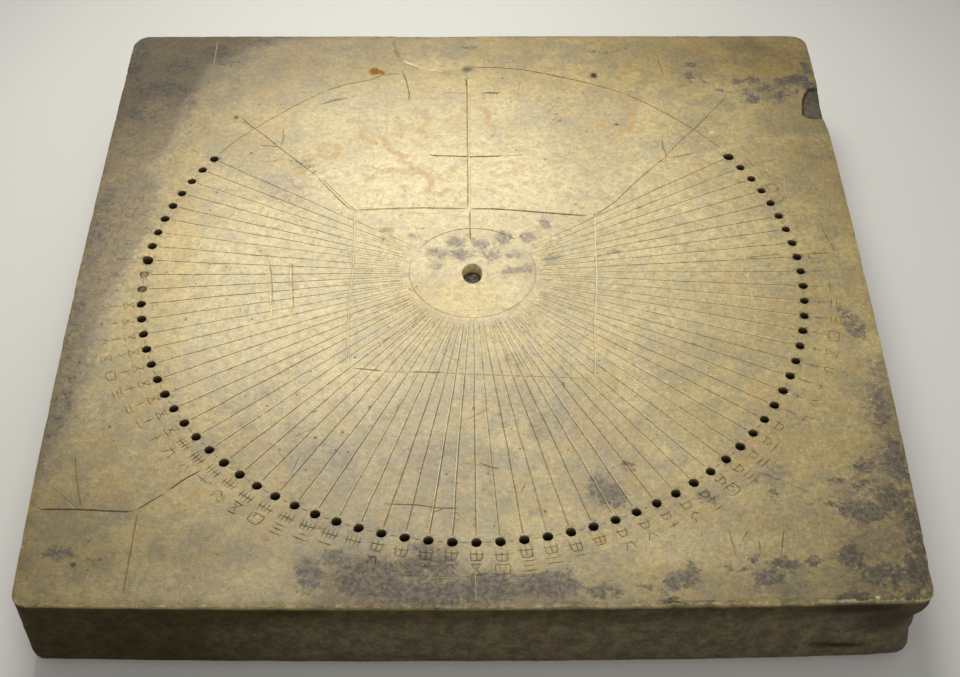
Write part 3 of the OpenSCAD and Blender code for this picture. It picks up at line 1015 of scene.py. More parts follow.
@dataclass(frozen=True)
class FaceRelief:
    """The face's heights: slow waves, fine dressing, worn edges, the flake, the chip and every line."""

    dial: Dial
    outline: Outline
    strokes: tuple[Stroke, ...]
    pits: Array
    thickness: float = THICKNESS
    wave: float = 0.1
    wave_length: float = 46.0
    dressing: float = 0.04
    dressing_length: float = 7.0
    dip: float = 0.12
    dip_radius: float = 9.0
    edge_fall: float = 0.15
    edge_reach: float = 3.0
    flake_depth: float = 0.55
    chip_depth: float = 0.75

    def edge_distance(self, points: Array) -> Array:
        """How far places lie inside the nearest side, from the plan's reach in x and its sides in y."""
        place = self.dial.to_part(points)
        sideways = self.outline.reach(place[:, 1]) - np.abs(place[:, 0])
        behind = self.outline.half_depth - place[:, 1]
        before = place[:, 1] - self.outline.front_side(place[:, 0])
        return np.min([sideways, behind, before], axis=0)

    def flake(self, points: Array) -> Array:
        """Depth of the flaked patch at the back: full beyond its lip, less to the right and the edge."""
        depth = self.flake_depth * smoothstep(0.0, 1.6, gap_to(points, FLAKE_LIP))
        fall = 1.0 - 0.5 * smoothstep(118.0, 138.0, points[:, 1])
        return depth * smoothstep(4.0, -8.0, points[:, 0]) * fall * inside(points, FLAKE_EDGE)

    def chip(self, points: Array) -> Array:
        """Depth of the chip in the right edge: a steep lip, then a rough floor that falls outwards."""
        floor = self.chip_depth + 0.3 * Noise(2.6, 61, 2).at(points) + 0.04 * (points[:, 0] - 129.0)
        return floor * smoothstep(0.0, 0.7, gap_to(points, CHIP_LIP)) * inside(points, CHIP_EDGE)

    def pit(self, points: Array) -> Array:
        """Depth of the small pits, each a bowl of its own radius.

        Args:
            points: places on the face, one row each.

        Returns:
            One depth for each place, 0 outside the pits.
        """
        depth = np.zeros(len(points))
        for x, y, radius, deep in self.pits:
            near = np.flatnonzero((np.abs(points[:, 0] - x) < radius) & (np.abs(points[:, 1] - y) < radius))
            gap = np.hypot(points[near, 0] - x, points[near, 1] - y)
            depth[near] = np.maximum(depth[near], deep * np.clip(1.0 - (gap / radius) ** 2, 0.0, 1.0))
        return depth

    def carved(self, points: Array, weight: Callable[[Stroke], float]) -> Array:
        """The largest of the strokes' profiles at each place, each times its stroke's weight.

        Args:
            points: places on the face, one row each.
            weight: gives a stroke's weight.

        Returns:
            One number for each place, 0 outside the strokes.
        """
        level = np.zeros(len(points))
        for stroke in self.strokes:
            near = stroke.near(points)
            if weight(stroke) and len(near):
                level[near] = np.maximum(level[near], weight(stroke) * stroke.profile(points[near]))
        return level

    def marks(self, points: Array, mark: Mark) -> Array:
        """Strength of one kind of mark at each place, from the strokes that are filled with it."""
        return self.carved(points, lambda stroke: stroke.strength if stroke.mark is mark else 0.0)

    def height(self, points: Array) -> Array:
        """Adds up the face: its thickness, less waves, worn edges, the bowl, the losses and the cuts.

        Args:
            points: places on the face, one row each.

        Returns:
            Heights over the underside.
        """
        waves = self.wave * (Noise(self.wave_length, 31, 2).at(points) - 1.0)
        fine = self.dressing * (Noise(self.dressing_length, 37, 2).at(points) - 1.0)
        worn = self.edge_fall * smoothstep(self.edge_reach, 0.0, self.edge_distance(points)) ** 2
        bowl = self.dip * np.exp(-((lengths(points) / self.dip_radius) ** 2))
        losses = np.maximum(self.flake(points), self.chip(points))
        cuts = np.maximum(self.carved(points, lambda stroke: stroke.depth), self.pit(points))
        return self.thickness + waves + fine - worn - bowl - losses - cuts


# Meshes


@dataclass
class MeshParts:
    """Collects grids, fans and triangles with their attributes, and welds them into one object."""

    names: tuple[str, ...] = ()
    weld: float = 2e-6
    sliver: float = 1e-6
    corners: list[Array] = field(default_factory=list)
    faces: list[Array] = field(default_factory=list)
    levels: dict[str, list[Array]] = field(default_factory=dict)
    slots: list[Array] = field(default_factory=list)
    total: int = 0

    def add(self, points: Array, faces: Array, slot: int, **levels: Array) -> None:
        """Adds a patch of surface.

        Args:
            points: its corners, in millimetres.
            faces: triangles or quads that index the corners.
            slot: the number of its material.
            levels: the corners' attributes by name, 0 where one isn't given.
        """
        if faces.shape[1] == 4:
            faces = np.concatenate([faces[:, [0, 1, 2]], faces[:, [0, 2, 3]]])
        self.corners.append(points)
        self.faces.append(faces + self.total)
        self.slots.append(np.full(len(faces), slot))
        for name in self.names:
            value = np.ravel(levels.get(name, 0.0))
            self.levels.setdefault(name, []).append(np.broadcast_to(value, len(points)).astype(float))
        self.total += len(points)

    def add_rings(self, rings: Array, slot: int, outward: bool, **levels: Array) -> None:
        """Joins closed rings of equal length by quads.

        Args:
            rings: an array of rings, points and coordinates, from the top down.
            slot: the number of their material.
            outward: whether the quads face away from the rings' middle.
            levels: the points' attributes by name.
        """
        rows, count, _ = rings.shape
        row, here = np.meshgrid(np.arange(rows - 1), np.arange(count), indexing="ij")
        after = (here + 1) % count
        a, b = row * count + here, (row + 1) * count + here
        c, d = (row + 1) * count + after, row * count + after
        quads = np.stack([a, b, c, d] if outward else [a, d, c, b], axis=-1).reshape(-1, 4)
        self.add(rings.reshape(-1, 3), quads, slot, **levels)

    def add_cap(self, ring: Array, slot: int, up: bool, **levels: Array) -> None:
        """Closes a ring by a fan round the mean of its points.

        Args:
            ring: its points, one row each.
            slot: the number of the material.
            up: whether the fan faces up.
            levels: the points' attributes by name.
        """
        count = len(ring)
        here = np.arange(count)
        after = (here + 1) % count
        centre = np.full(count, count)
        order = [here, after, centre] if up else [after, here, centre]
        self.add(np.vstack([ring, ring.mean(axis=0)]), np.stack(order, axis=-1), slot, **levels)

    def object(self, name: str, materials: list[bpy.types.Material], sharp: float) -> bpy.types.Object:
        """Makes the object: welds equal corners, drops slivers, and shades smooth except at sharp edges.

        Args:
            name: the piece's name.
            materials: the materials, in the order of the slots.
            sharp: the angle in degrees past which an edge stays sharp.

        Returns:
            The new object, linked to the scene, with its place in its mesh.
        """
        mesh = bpy.data.meshes.new(name)
        corners = np.concatenate(self.corners) * MM
        mesh.from_pydata(corners, [], np.concatenate(self.faces).tolist())
        mesh.polygons.foreach_set("material_index", np.concatenate(self.slots).astype(np.int32))
        for attribute, parts in self.levels.items():
            layer = mesh.attributes.new(attribute, "FLOAT", "POINT")
            layer.data.foreach_set("value", np.concatenate(parts).astype(np.float32))
        work = bmesh.new()
        work.from_mesh(mesh)
        bmesh.ops.remove_doubles(work, verts=work.verts, dist=self.weld)
        bmesh.ops.dissolve_degenerate(work, edges=work.edges, dist=self.sliver)
        bmesh.ops.triangulate(work, faces=work.faces)
        work.to_mesh(mesh)
        work.free()
        mesh.shade_smooth()
        mesh.set_sharp_from_angle(angle=np.radians(sharp))
        for material in materials:
            mesh.materials.append(material)
        made = bpy.data.objects.new(name, mesh)
        bpy.context.scene.collection.objects.link(made)
        return made


@dataclass
class FaceNet:
    """Points and fixed edges on the face, joined by a constrained Delaunay triangulation."""

    points: list[Array] = field(default_factory=list)
    edges: list[Array] = field(default_factory=list)
    rings: list[list[int]] = field(default_factory=list)
    total: int = 0
    tolerance: float = 1e-7

    def add_points(self, points: Array) -> Array:
        """Adds free points, and returns their numbers in the net."""
        self.points.append(points)
        indices = np.arange(self.total, self.total + len(points))
        self.total += len(points)
        return indices

    def add_path(self, points: Array, closed: bool = False) -> None:
        """Adds a path whose edges the triangulation keeps."""
        here = self.add_points(points)
        edges = np.stack([here, np.roll(here, -1)], axis=-1)
        self.edges.append(edges if closed else edges[:-1])

    def add_ring(self, points: Array) -> None:
        """Adds a closed ring, given counter-clockwise, as a face of its own that can be told apart later."""
        self.rings.append(self.add_points(points).tolist())

    def triangulate(self) -> tuple[Array, Array]:
        """Joins everything, and keeps what lies in the first ring and in none of the others.

        Returns:
            The corners on the face, and the triangles, all counter-clockwise from above.
        """
        flat = [Vector(point) for point in np.concatenate(self.points)]
        edges = np.concatenate(self.edges).tolist()
        corners, _, faces, _, _, origins = delaunay_2d_cdt(flat, edges, self.rings, 0, self.tolerance)
        keep = [face for face, origin in zip(faces, origins) if origin == [0]]
        xy, tri = np.array([tuple(corner) for corner in corners]), np.array(keep)
        side, other = xy[tri[:, 1]] - xy[tri[:, 0]], xy[tri[:, 2]] - xy[tri[:, 0]]
        turned = side[:, 0] * other[:, 1] - side[:, 1] * other[:, 0] < 0.0
        tri[turned] = tri[turned][:, ::-1]
        used, renumbered = np.unique(tri, return_inverse=True)
        return xy[used], renumbered.reshape(tri.shape)


# Shader arithmetic


class Value:
    """A shader socket that adds Math nodes as it is used in an expression."""

    def __init__(self, graph: "Graph", socket: bpy.types.NodeSocket) -> None:
        """Wraps a socket of a graph."""
        self.graph = graph
        self.socket = socket

    def _math(self, operation: str, first: object, second: object) -> "Value":
        """Adds a Math node on two values."""
        node = self.graph.node("ShaderNodeMath", {"operation": operation}, {0: first, 1: second})
        return Value(self.graph, node.outputs[0])

    def __add__(self, other: object) -> "Value":
        """The sum."""
        return self._math("ADD", self, other)

    def __sub__(self, other: object) -> "Value":
        """The difference."""
        return self._math("SUBTRACT", self, other)

    def __rsub__(self, other: object) -> "Value":
        """The difference from a number."""
        return self._math("SUBTRACT", other, self)

    def __mul__(self, other: object) -> "Value":
        """The product."""
        return self._math("MULTIPLY", self, other)

    __radd__ = __add__
    __rmul__ = __mul__

    def larger(self, other: object) -> "Value":
        """The larger of this value and another."""
        return self._math("MAXIMUM", self, other)

    def step(self, low: float, high: float) -> "Value":
        """A smooth rise from 0 at low to 1 at high."""
        inputs = {"Value": self, "From Min": low, "From Max": high}
        node = self.graph.node("ShaderNodeMapRange", {"interpolation_type": "SMOOTHSTEP"}, inputs)
        return Value(self.graph, node.outputs[0])


class Graph:
    """A material's node tree. Object coordinates are turned into millimetres once for all its patterns."""

    def __init__(self, name: str) -> None:
        """Makes an empty material with that name."""
        self.material = bpy.data.materials.new(name)
        self.material.use_nodes = True
        self.tree = self.material.node_tree
        self.tree.nodes.clear()
        source = self.node("ShaderNodeTexCoord").outputs["Object"]
        mapped = self.node("ShaderNodeMapping", {}, {"Vector": source, "Scale": (1 / MM,) * 3})
        self.place = mapped.outputs["Vector"]

    def node(self, kind: str, settings: dict | None = None, inputs: dict | None = None) -> bpy.types.Node:
        """Adds any node.

        Args:
            kind: the node's type.
            settings: its properties, which are set first.
            inputs: socket name or number to a number, a colour, a socket or a Value.

        Returns:
            The new node.
        """
        made = self.tree.nodes.new(kind)
        for name, value in (settings or {}).items():
            setattr(made, name, value)
        for key, value in (inputs or {}).items():
            source = value.socket if isinstance(value, Value) else value
            if isinstance(source, bpy.types.NodeSocket):
                self.tree.links.new(source, made.inputs[key])
            else:
                made.inputs[key].default_value = source
        return made

    def noise(self, size: float, detail: float = 3.0, rough: float = 0.55, warp: float = 0.0) -> Value:
        """Noise from 0 to 1 whose largest features are about the given size in millimetres."""
        inputs = {"Vector": self.place, "Scale": 1.0 / size, "Detail": detail, "Roughness": rough}
        made = self.node("ShaderNodeTexNoise", {}, {**inputs, "Distortion": warp})
        return Value(self, made.outputs[0])

    def level(self, name: str) -> Value:
        """An attribute of the mesh as a value."""
        return Value(self, self.node("ShaderNodeAttribute", {"attribute_name": name}).outputs["Fac"])

    def mix(self, share: object, low: object, high: object, blend: str = "MIX") -> bpy.types.NodeSocket:
        """A colour between two colours, at a share from 0 to 1."""
        settings = {"data_type": "RGBA", "blend_type": blend, "clamp_factor": True}
        colours = {6: self._colour(low), 7: self._colour(high)}
        return self.node("ShaderNodeMix", settings, {0: share, **colours}).outputs[2]

    @staticmethod
    def _colour(value: object) -> object:
        """A plain colour gets its fourth number, and a socket stays as it is."""
        return (*value, 1.0) if isinstance(value, tuple) else value

    def bump(self, height: Value, strength: float = 1.0) -> bpy.types.NodeSocket:
        """A normal from a height in millimetres."""
        inputs = {"Strength": strength, "Distance": MM, "Height": height}
        return self.node("ShaderNodeBump", {}, inputs).outputs["Normal"]

    def finish(self, specular: float, **feeds: object) -> bpy.types.Material:
        """Adds the shader, fed by the sockets' names in lower case, and returns the material."""
        names = {key.replace("_", " ").title(): self._colour(value) for key, value in feeds.items()}
        shader = self.node("ShaderNodeBsdfPrincipled", {}, {"Specular IOR Level": specular, **names})
        self.node("ShaderNodeOutputMaterial", {}, {"Surface": shader.outputs[0]})
        return self.material


@dataclass(frozen=True)
class StoneColours:
    """The limestone's colours, as linear red, green and blue."""

    ochre: Colour = (0.47, 0.355, 0.15)
    honey: Colour = (0.62, 0.49, 0.21)
    olive: Colour = (0.36, 0.31, 0.17)
    # Cream of the stone, also used as painted light where the light pools on the face and in the centre
    # socket
    cream: Colour = (0.82, 0.69, 0.37)
    stain: Colour = (0.50, 0.31, 0.075)
    rust: Colour = (0.42, 0.19, 0.0)
    # Painted shade, multiplied in where the light falls off at the margins and corners
    shade: Colour = (0.30, 0.285, 0.235)
    warmth: Colour = (0.99, 0.92, 0.66)
    veil: Colour = (0.36, 0.275, 0.14)
    film: Colour = (0.20, 0.163, 0.125)
    patina: Colour = (0.092, 0.078, 0.056)
    patina_light: Colour = (0.25, 0.21, 0.155)
    lilac: Colour = (0.22, 0.19, 0.20)
    dirt: Colour = (0.12, 0.088, 0.05)
    # Pale bruising of the lines and specks, also painted highlight on lit groove walls and the flake's crest
    bruise_and_highlight: Colour = (0.88, 0.77, 0.50)
    # The sides' dark brown: dirt and painted shade
    grime_and_shade: Colour = (0.095, 0.076, 0.043)
    grime_and_shade_light: Colour = (0.185, 0.15, 0.088)
    # Painted shade on the sides, multiplied in by the shade level
    painted_side_shade: Colour = (0.36, 0.34, 0.21)
    fracture: Colour = (0.09, 0.086, 0.062)
    worn: Colour = (0.54, 0.46, 0.28)
    # Dark spots, and painted shade in the sockets, the chip and the broken corner's hollows
    hole: Colour = (0.03, 0.019, 0.011)


@dataclass(frozen=True)
class LimestoneFinish:
    """Weathered limestone. The same colours serve the polished face and the matt sides."""

    name: str
    roughness: float
    specular: float
    bump: float
    colours: StoneColours = StoneColours()

    def stone(self, graph: Graph) -> bpy.types.NodeSocket:
        """Clean stone: ochre and honey clouds, olive mottling, cream patches that also paint the pool of
        light on the face, stains and warm margins.

        Args:
            graph: the material's graph.

        Returns:
            The socket of its colour.
        """
        tone = self.colours
        colour = graph.mix(graph.noise(30.0, 4.0).step(0.36, 0.66), tone.ochre, tone.honey)
        colour = graph.mix(graph.noise(9.0, 6.0, 0.66).step(0.44, 0.62) * 0.75, colour, tone.olive)
        # Cream where the light pools: partly the stone's own cream, partly painted light
        rubbed = graph.level("cream") * (graph.noise(7.0, 6.0, 0.68) * 2.6 - 0.5)
        colour = graph.mix(rubbed, colour, tone.cream)
        colour = graph.mix(graph.noise(3.4, 6.0, 0.7).step(0.48, 0.64) * 0.55, colour, tone.olive)
        colour = graph.mix(graph.noise(1.3, 4.0, 0.62).step(0.54, 0.68) * 0.35, colour, tone.cream)
        reddish = graph.noise(6.5, 5.0, 0.6, 1.2).step(0.52, 0.66) * 0.4
        colour = graph.mix(reddish, colour, tone.stain)
        roots = (graph.level("stain") * (graph.noise(3.2, 7.0, 0.76) * 3.6 - 0.8)).step(0.3, 1.1) * 0.7
        colour = graph.mix(roots, colour, tone.stain)
        rusty = (graph.level("rust") * (graph.noise(0.9, 3.0) * 2.4 - 0.3)).step(0.15, 0.7)
        colour = graph.mix(rusty, colour, tone.rust)
        warm = graph.level("warm") * (graph.noise(12.0, 5.0, 0.6) + 0.5)
        return graph.mix(warm, colour, graph.mix(1.0, colour, tone.warmth, "MULTIPLY"))

    def weathered(self, graph: Graph, colour: bpy.types.NodeSocket) -> bpy.types.NodeSocket:
        """Lays thin veils, ragged dark patches and fine specks over the stone.

        A patch is the attribute plus noise of two sizes, cut off at a level, so that its border is torn.

        Args:
            graph: the material's graph.
            colour: the socket of the clean stone's colour.

        Returns:
            The socket of the new colour.
        """
        tone = self.colours
        torn = graph.noise(8.0, 8.0, 0.74, 0.4) * 1.5 + graph.noise(2.4, 8.0, 0.8) * 2.6 - 2.05
        veil = (graph.level("veil") + torn * 0.8).step(0.30, 0.72)
        film = graph.mix(graph.noise(2.2, 7.0, 0.78).step(0.41, 0.58), tone.veil, tone.film)
        colour = graph.mix(veil * 0.70, colour, film)
        patch = (graph.level("patina") + torn).step(0.42, 0.72)
        dark = graph.mix(graph.noise(1.6, 6.0, 0.75).step(0.43, 0.58), tone.patina, tone.patina_light)
        cool = graph.level("cool")
        dark = graph.mix(cool * 0.9, dark, tone.lilac)
        flecks = graph.noise(2.0, 7.0, 0.82).step(0.42, 0.53)
        thick = (1.0 - cool * (1.0 - flecks) * 0.9) * 0.86
        colour = graph.mix(patch * thick, colour, dark)
        return graph.mix(graph.noise(1.1, 4.0, 0.72).step(0.57, 0.68) * 0.5, colour, tone.patina_light)

    def shaded(self, graph: Graph, colour: bpy.types.NodeSocket) -> bpy.types.NodeSocket:
        """Darkens the margins and corners: painted shade where the light falls off, with some ingrained dirt
        at the margins.
        """
        soil_and_shade = graph.level("shade") * (graph.noise(18.0, 5.0, 0.6) * 0.5 + 0.47)
        return graph.mix(soil_and_shade, colour, graph.mix(1.0, colour, self.colours.shade, "MULTIPLY"))

    def marked(self, graph: Graph, colour: bpy.types.NodeSocket) -> bpy.types.NodeSocket:
        """Adds the broken dark dirt of the scribed lines, and their pale colour: pale bruising, with painted
        highlight on lit groove walls and on the flake's crest.
        """
        pale = graph.level("bruise_and_highlight") * (graph.noise(2.4, 3.0, 0.6).step(0.32, 0.56) * 0.6 + 0.4)
        colour = graph.mix(pale, colour, self.colours.bruise_and_highlight)
        dark = graph.level("dirt") * (graph.noise(3.4, 4.0, 0.65).step(0.36, 0.58) * 0.75 + 0.25)
        return graph.mix(dark, colour, self.colours.dirt)

    def side_colour(self, graph: Graph, colour: bpy.types.NodeSocket) -> bpy.types.NodeSocket:
        """Covers the sides with dark dirt and painted shade, darker where the shade level paints the shadow
        below the arris, and leaves the fracture and the worn arris lighter.

        Args:
            graph: the material's graph.
            colour: the socket of the face's colour.

        Returns:
            The socket of the new colour.
        """
        tone = self.colours
        grime_and_shade = graph.mix(graph.noise(4.5, 8.0, 0.75).step(0.36, 0.70), tone.grime_and_shade, tone.grime_and_shade_light)
        # Painted shade on the sides, by the shade level
        grime_and_shade = graph.mix(graph.level("shade"), grime_and_shade, graph.mix(1.0, grime_and_shade, tone.painted_side_shade, "MULTIPLY"))
        colour = graph.mix(graph.level("side"), colour, grime_and_shade)
        broken = (graph.level("fracture") * (graph.noise(3.0, 7.0, 0.76) * 3.4 - 0.7)).step(0.3, 1.1)
        colour = graph.mix(broken * 0.8, colour, tone.fracture)
        rubbed = (graph.level("worn") * (graph.noise(3.0, 7.0, 0.8) * 6.0 - 2.3)).step(0.20, 0.90)
        return graph.mix(rubbed * 0.8, colour, tone.worn)

    def material(self) -> bpy.types.Material:
        """Makes the finish: the face's colour, its marks, the sides' dark dirt and painted shade, and the
        painted shade of the sockets.

        The grain multiplies the colour. The roughness is noise, raised on patches, veils, sides and rust.

        Returns:
            The material.
        """
        graph = Graph(self.name)
        colour = self.shaded(graph, self.weathered(graph, self.stone(graph)))
        colour = self.side_colour(graph, self.marked(graph, colour))
        # Dark spots, and painted shade in the sockets, the chip and the corner's hollows
        colour = graph.mix(graph.level("hole"), colour, self.colours.hole)
        grain = graph.noise(0.7, 4.0, 0.75) * 0.9 + graph.noise(2.0, 6.0, 0.78) * 1.35 - 0.13
        colour = graph.mix(1.0, colour, grain.socket, "MULTIPLY")
        height = graph.noise(0.7, 4.0, 0.7) * 0.10 + graph.noise(3.2, 4.0, 0.6) * 0.16
        rough = graph.noise(7.0, 4.0, 0.6) * 0.2 + (self.roughness - 0.1) + graph.level("patina") * 0.15
        soiled = (graph.level("hole") + graph.level("rust")).larger(graph.level("side") * 0.85)
        soiled = soiled.larger(graph.level("veil") * 0.7)
        return graph.finish(
            self.specular,
            base_color=colour,
            roughness=rough.larger(soiled),
            normal=graph.bump(height, self.bump),
        )


@dataclass(frozen=True)
class EarthFinish:
    """Packed grey-brown earth with pale and dark grains."""

    name: str = "packed_earth"
    dark: Colour = (0.075, 0.058, 0.042)
    light: Colour = (0.22, 0.185, 0.145)
    grain: Colour = (0.45, 0.40, 0.33)

    def material(self) -> bpy.types.Material:
        """Two browns in noise, with sparse pale grains and a crumbly bump."""
        graph = Graph(self.name)
        colour = graph.mix(graph.noise(1.1, 5.0, 0.7).step(0.40, 0.66), self.dark, self.light)
        colour = graph.mix(graph.noise(0.6, 2.0).step(0.66, 0.72), colour, self.grain)
        height = graph.noise(0.8, 5.0, 0.7) * 0.35
        return graph.finish(0.25, base_color=colour, roughness=0.92, normal=graph.bump(height))


@dataclass(frozen=True)
class CrustFinish:
    """Tan lime crust, close to the stone in colour but matt, darkened to paint the shade inside its sockets.
    """

    name: str = "lime_crust"
    # Colours darkened to paint the shade inside the sockets
    tan: Colour = (0.30, 0.235, 0.13)
    pale: Colour = (0.50, 0.41, 0.25)
    shade: Colour = (0.08, 0.055, 0.03)

    def material(self) -> bpy.types.Material:
        """Tan and pale patches with a few dark grains, and a grainy bump."""
        graph = Graph(self.name)
        colour = graph.mix(graph.noise(1.6, 5.0, 0.65).step(0.38, 0.66), self.tan, self.pale)
        colour = graph.mix(graph.noise(0.7, 4.0).step(0.60, 0.70) * 0.7, colour, self.shade)
        height = graph.noise(0.6, 4.0, 0.7) * 0.2
        return graph.finish(0.3, base_color=colour, roughness=0.85, normal=graph.bump(height))


# The pieces


@dataclass
class DialSlab:
    """The slab: its face, sockets, worn sides and underside in one closed mesh."""

    dial: Dial = field(default_factory=Dial)
    outline: Outline = field(default_factory=Outline)
    upper_round: float = 0.5
    lower_round: float = 6.0
    upper_rows: int = 5
    wall_rows: int = 20
    lower_rows: int = 7
    ground_step: float = 1.75
    jitter: float = 0.3
    ground_clearance: float = 0.38
    border_rings: tuple[float, ...] = (2.0, 3.1)
    sharp_angle: float = 16.0
    seed: int = 3
    attributes: tuple[str, ...] = (
        "cream", "stain", "rust", "patina", "veil", "shade", "warm", "cool",
        "bruise_and_highlight", "dirt", "side", "fracture", "worn", "hole",
    )

    def __post_init__(self) -> None:
        """Works out the strokes, the relief and the sockets."""
        self.strokes = tuple(Scribing(self.dial, Numerals(self.dial)).strokes())
        self.relief = FaceRelief(self.dial, self.outline, self.strokes, Pits(self.dial).rows())
        self.rim_holes = Sockets(self.dial).rim()
        self.centre_hole = Sockets(self.dial).centre()

    def rows(self) -> Array:
        """Rows from the face's edge down: a quarter round, the wall, and a larger quarter round.

        Returns:
            The inset and the height of each row.
        """
        top = np.radians(np.linspace(90.0, 0.0, self.upper_rows))
        upper = np.stack([1.0 - np.cos(top), np.sin(top) - 1.0], axis=-1) * self.upper_round
        upper[:, 1] += THICKNESS
        wall = np.linspace(THICKNESS - self.upper_round, self.lower_round, self.wall_rows + 2)[1:-1]
        foot = np.radians(np.linspace(0.0, 90.0, self.lower_rows))
        lower = np.stack([1.0 - np.cos(foot), 1.0 - np.sin(foot)], axis=-1) * self.lower_round
        return np.concatenate([upper, np.column_stack([np.zeros(len(wall)), wall]), lower])

    def edge_chips(self, loop: Array) -> Array:
        """How far small and broad chips bite into the upper arris, most at the front right."""
        place = np.column_stack([loop, np.zeros(len(loop))])
        front = smoothstep(-134.0, -137.0, loop[:, 1]) * (0.35 + 0.65 * smoothstep(-40.0, 60.0, loop[:, 0]))
        small = np.maximum(Noise(3.6, 41, 2).at(place) - 0.12, 0.0) * (0.4 + 1.5 * front)
        broad = np.maximum(Noise(15.0, 43, 1).at(place) - 0.2, 0.0) * (0.2 + 1.2 * front)
        return small + broad

    def corner_break(self, grid: Array) -> tuple[Array, Array]:
        """How far the broken front right corner is pushed in, and the share of it for the colour.

        Under a lip the loss grows to its full depth within a few millimetres, and the foot of the corner is
        broken back further. It dies out along the front and the side, and its facets come from ridged noise.

        Args:
            grid: the sides' points, one row each.

        Returns:
            The vectors to add in the plan, and values from 0 to 1.
        """
        run_front = self.outline.reach(np.full(1, -self.outline.half_depth))[0] - grid[:, 0]
        run_side = grid[:, 1] + self.outline.half_depth - self.outline.front_bow
        level = smoothstep(THICKNESS - 4.0, THICKNESS - 13.0, grid[:, 2])
        fade = np.exp(-((run_front / 8.0) ** 2) - (run_side / 11.0) ** 2)
        band = smoothstep(52.0, 22.0, run_front) * smoothstep(-2.0, 3.0, 12.0 - run_side)
        ridge = 1.0 - 2.0 * np.abs(Noise(9.0, 51, 2).at(grid * np.array([0.8, 1.0, 1.6])))
        foot = 3.0 * fade * smoothstep(3.5, 0.3, grid[:, 2])
        level = level * (1.0 - 0.45 * smoothstep(14.0, 6.0, grid[:, 2]))
        loss = level * (2.7 * fade + band * (0.4 + 0.8 * np.maximum(ridge, -0.3))) + foot
        share = np.clip(level * (2.0 * fade + 0.8 * band * np.maximum(ridge, 0.0)), 0.0, 1.0)
        return loss[:, None] * np.array([-0.9, 0.42]), share

    def side_grid(self) -> tuple[Array, dict[str, Array]]:
        """Makes the rings from the face's edge to the underside.

        Each ring is the plan drawn in by its row's inset. The wall is pushed in by rough waves, chips bite
        the upper arris, and the rings near the face follow the height of the face's edge.

        Returns:
            An array of rings, points and coordinates from the dial's centre, and their attributes.
        """
        rows = self.rows()
        flat = np.stack([self.outline.loop(inset) for inset, _ in rows])
        chips = self.edge_chips(flat[0])
        height = np.repeat(rows[:, 1:], flat.shape[1], axis=1)
        depth = THICKNESS - height
        grid = np.concatenate([flat, height[..., None]], axis=-1).reshape(-1, 3)
        rough = 0.22 * (1.0 + Noise(11.0, 53, 3).at(grid)) + 0.08 * (1.0 + Noise(1.7, 57, 1).at(grid))
        push = rough.reshape(depth.shape) * smoothstep(0.2, 2.0, depth) + np.exp(-depth / 1.6) * chips
        inward = left_normals(flat[self.upper_rows], closed=True)
        grid[:, :2] = (flat + push[..., None] * inward).reshape(-1, 2)
        move, broken = self.corner_break(grid)
        grid[:, :2] += move
        notch = self.side_notch(grid)
        grid[:, 0] -= notch
        grid[:, :2] -= np.array(self.dial.centre)
        grid = grid.reshape(*depth.shape, 3)
        grid[0, :, :2] = rounded(grid[0, :, :2])
        top = self.relief.height(grid[0, :, :2]) - 0.35 * chips
        grid[..., 2] += (top - THICKNESS) * np.clip(1.0 - depth / 13.0, 0.0, 1.0)
        return grid, self.side_levels(grid, depth, broken.reshape(depth.shape), notch.reshape(depth.shape))

    def side_notch(self, grid: Array) -> Array:
        """How far the chip in the right edge draws the side in, fading out 6 mm below the face."""
        y = grid[:, 1] - self.dial.centre[1]
        along = smoothstep(106.0, 90.0, y) * smoothstep(75.0, 86.0, y)
        return 0.8 * along * smoothstep(6.0, 0.5, THICKNESS - grid[:, 2]) * (grid[:, 0] > 120.0)

    def side_levels(self, grid: Array, depth: Array, broken: Array, notch: Array) -> dict[str, Array]:
        """The sides' attributes: a worn arris, painted shade below it and near the foot, darker towards the
        front left, and the broken corner.

        The face's own attributes run down over the arris and fade out.

        Args:
            grid: the sides' rings.
            depth: how far each point lies below the face.
            broken: share of the corner's break at each point.
            notch: how far the chip draws each point in.

        Returns:
            One array like depth for each attribute, by name.
        """
        x, y = grid[0, :, 0], grid[0, :, 1]
        fade = np.exp(-depth / 0.9)
        levels = {name: fade * value for name, value in self.face_levels(grid[0, :, :2]).items()}
        front = smoothstep(-130.0, -136.0, y)
        strong = 0.45 + 0.55 * front * (0.5 + 0.5 * smoothstep(-20.0, 60.0, x))
        # Painted shadow below the arris and near the foot
        under = 0.7 * smoothstep(13.0, 2.5, depth) + 0.25 * smoothstep(22.0, 33.0, depth)
        dim = np.minimum(1.1 * smoothstep(-20.0, -118.0, x) * front + under, 1.25)
        place = np.column_stack([np.broadcast_to(x, depth.shape).ravel(), depth.ravel()])
        facets = strongest(BREAK_FACETS, place).reshape(depth.shape) * front
        hollows = strongest(BREAK_HOLLOWS, place).reshape(depth.shape) * front
        broken = np.maximum(0.6 * broken * smoothstep(0.8, 2.0, depth), facets)
        levels["side"] = smoothstep(0.25, 1.05, depth)
        levels["worn"] = np.where(notch > 0.2, 0.0, strong * smoothstep(0.5, 0.05, depth))
        # The sides' shade level: darker towards the front left, with painted shadow below the arris and near
        # the foot
        levels["shade"] = np.where(depth < 0.6, levels["shade"], dim)
        levels["fracture"] = broken * (1.0 - hollows)
        # Painted shadow in the hollows under the broken corner's lip
        levels["hole"] = np.maximum(levels["hole"], 0.92 * hollows * smoothstep(0.5, 1.1, depth))
        return levels

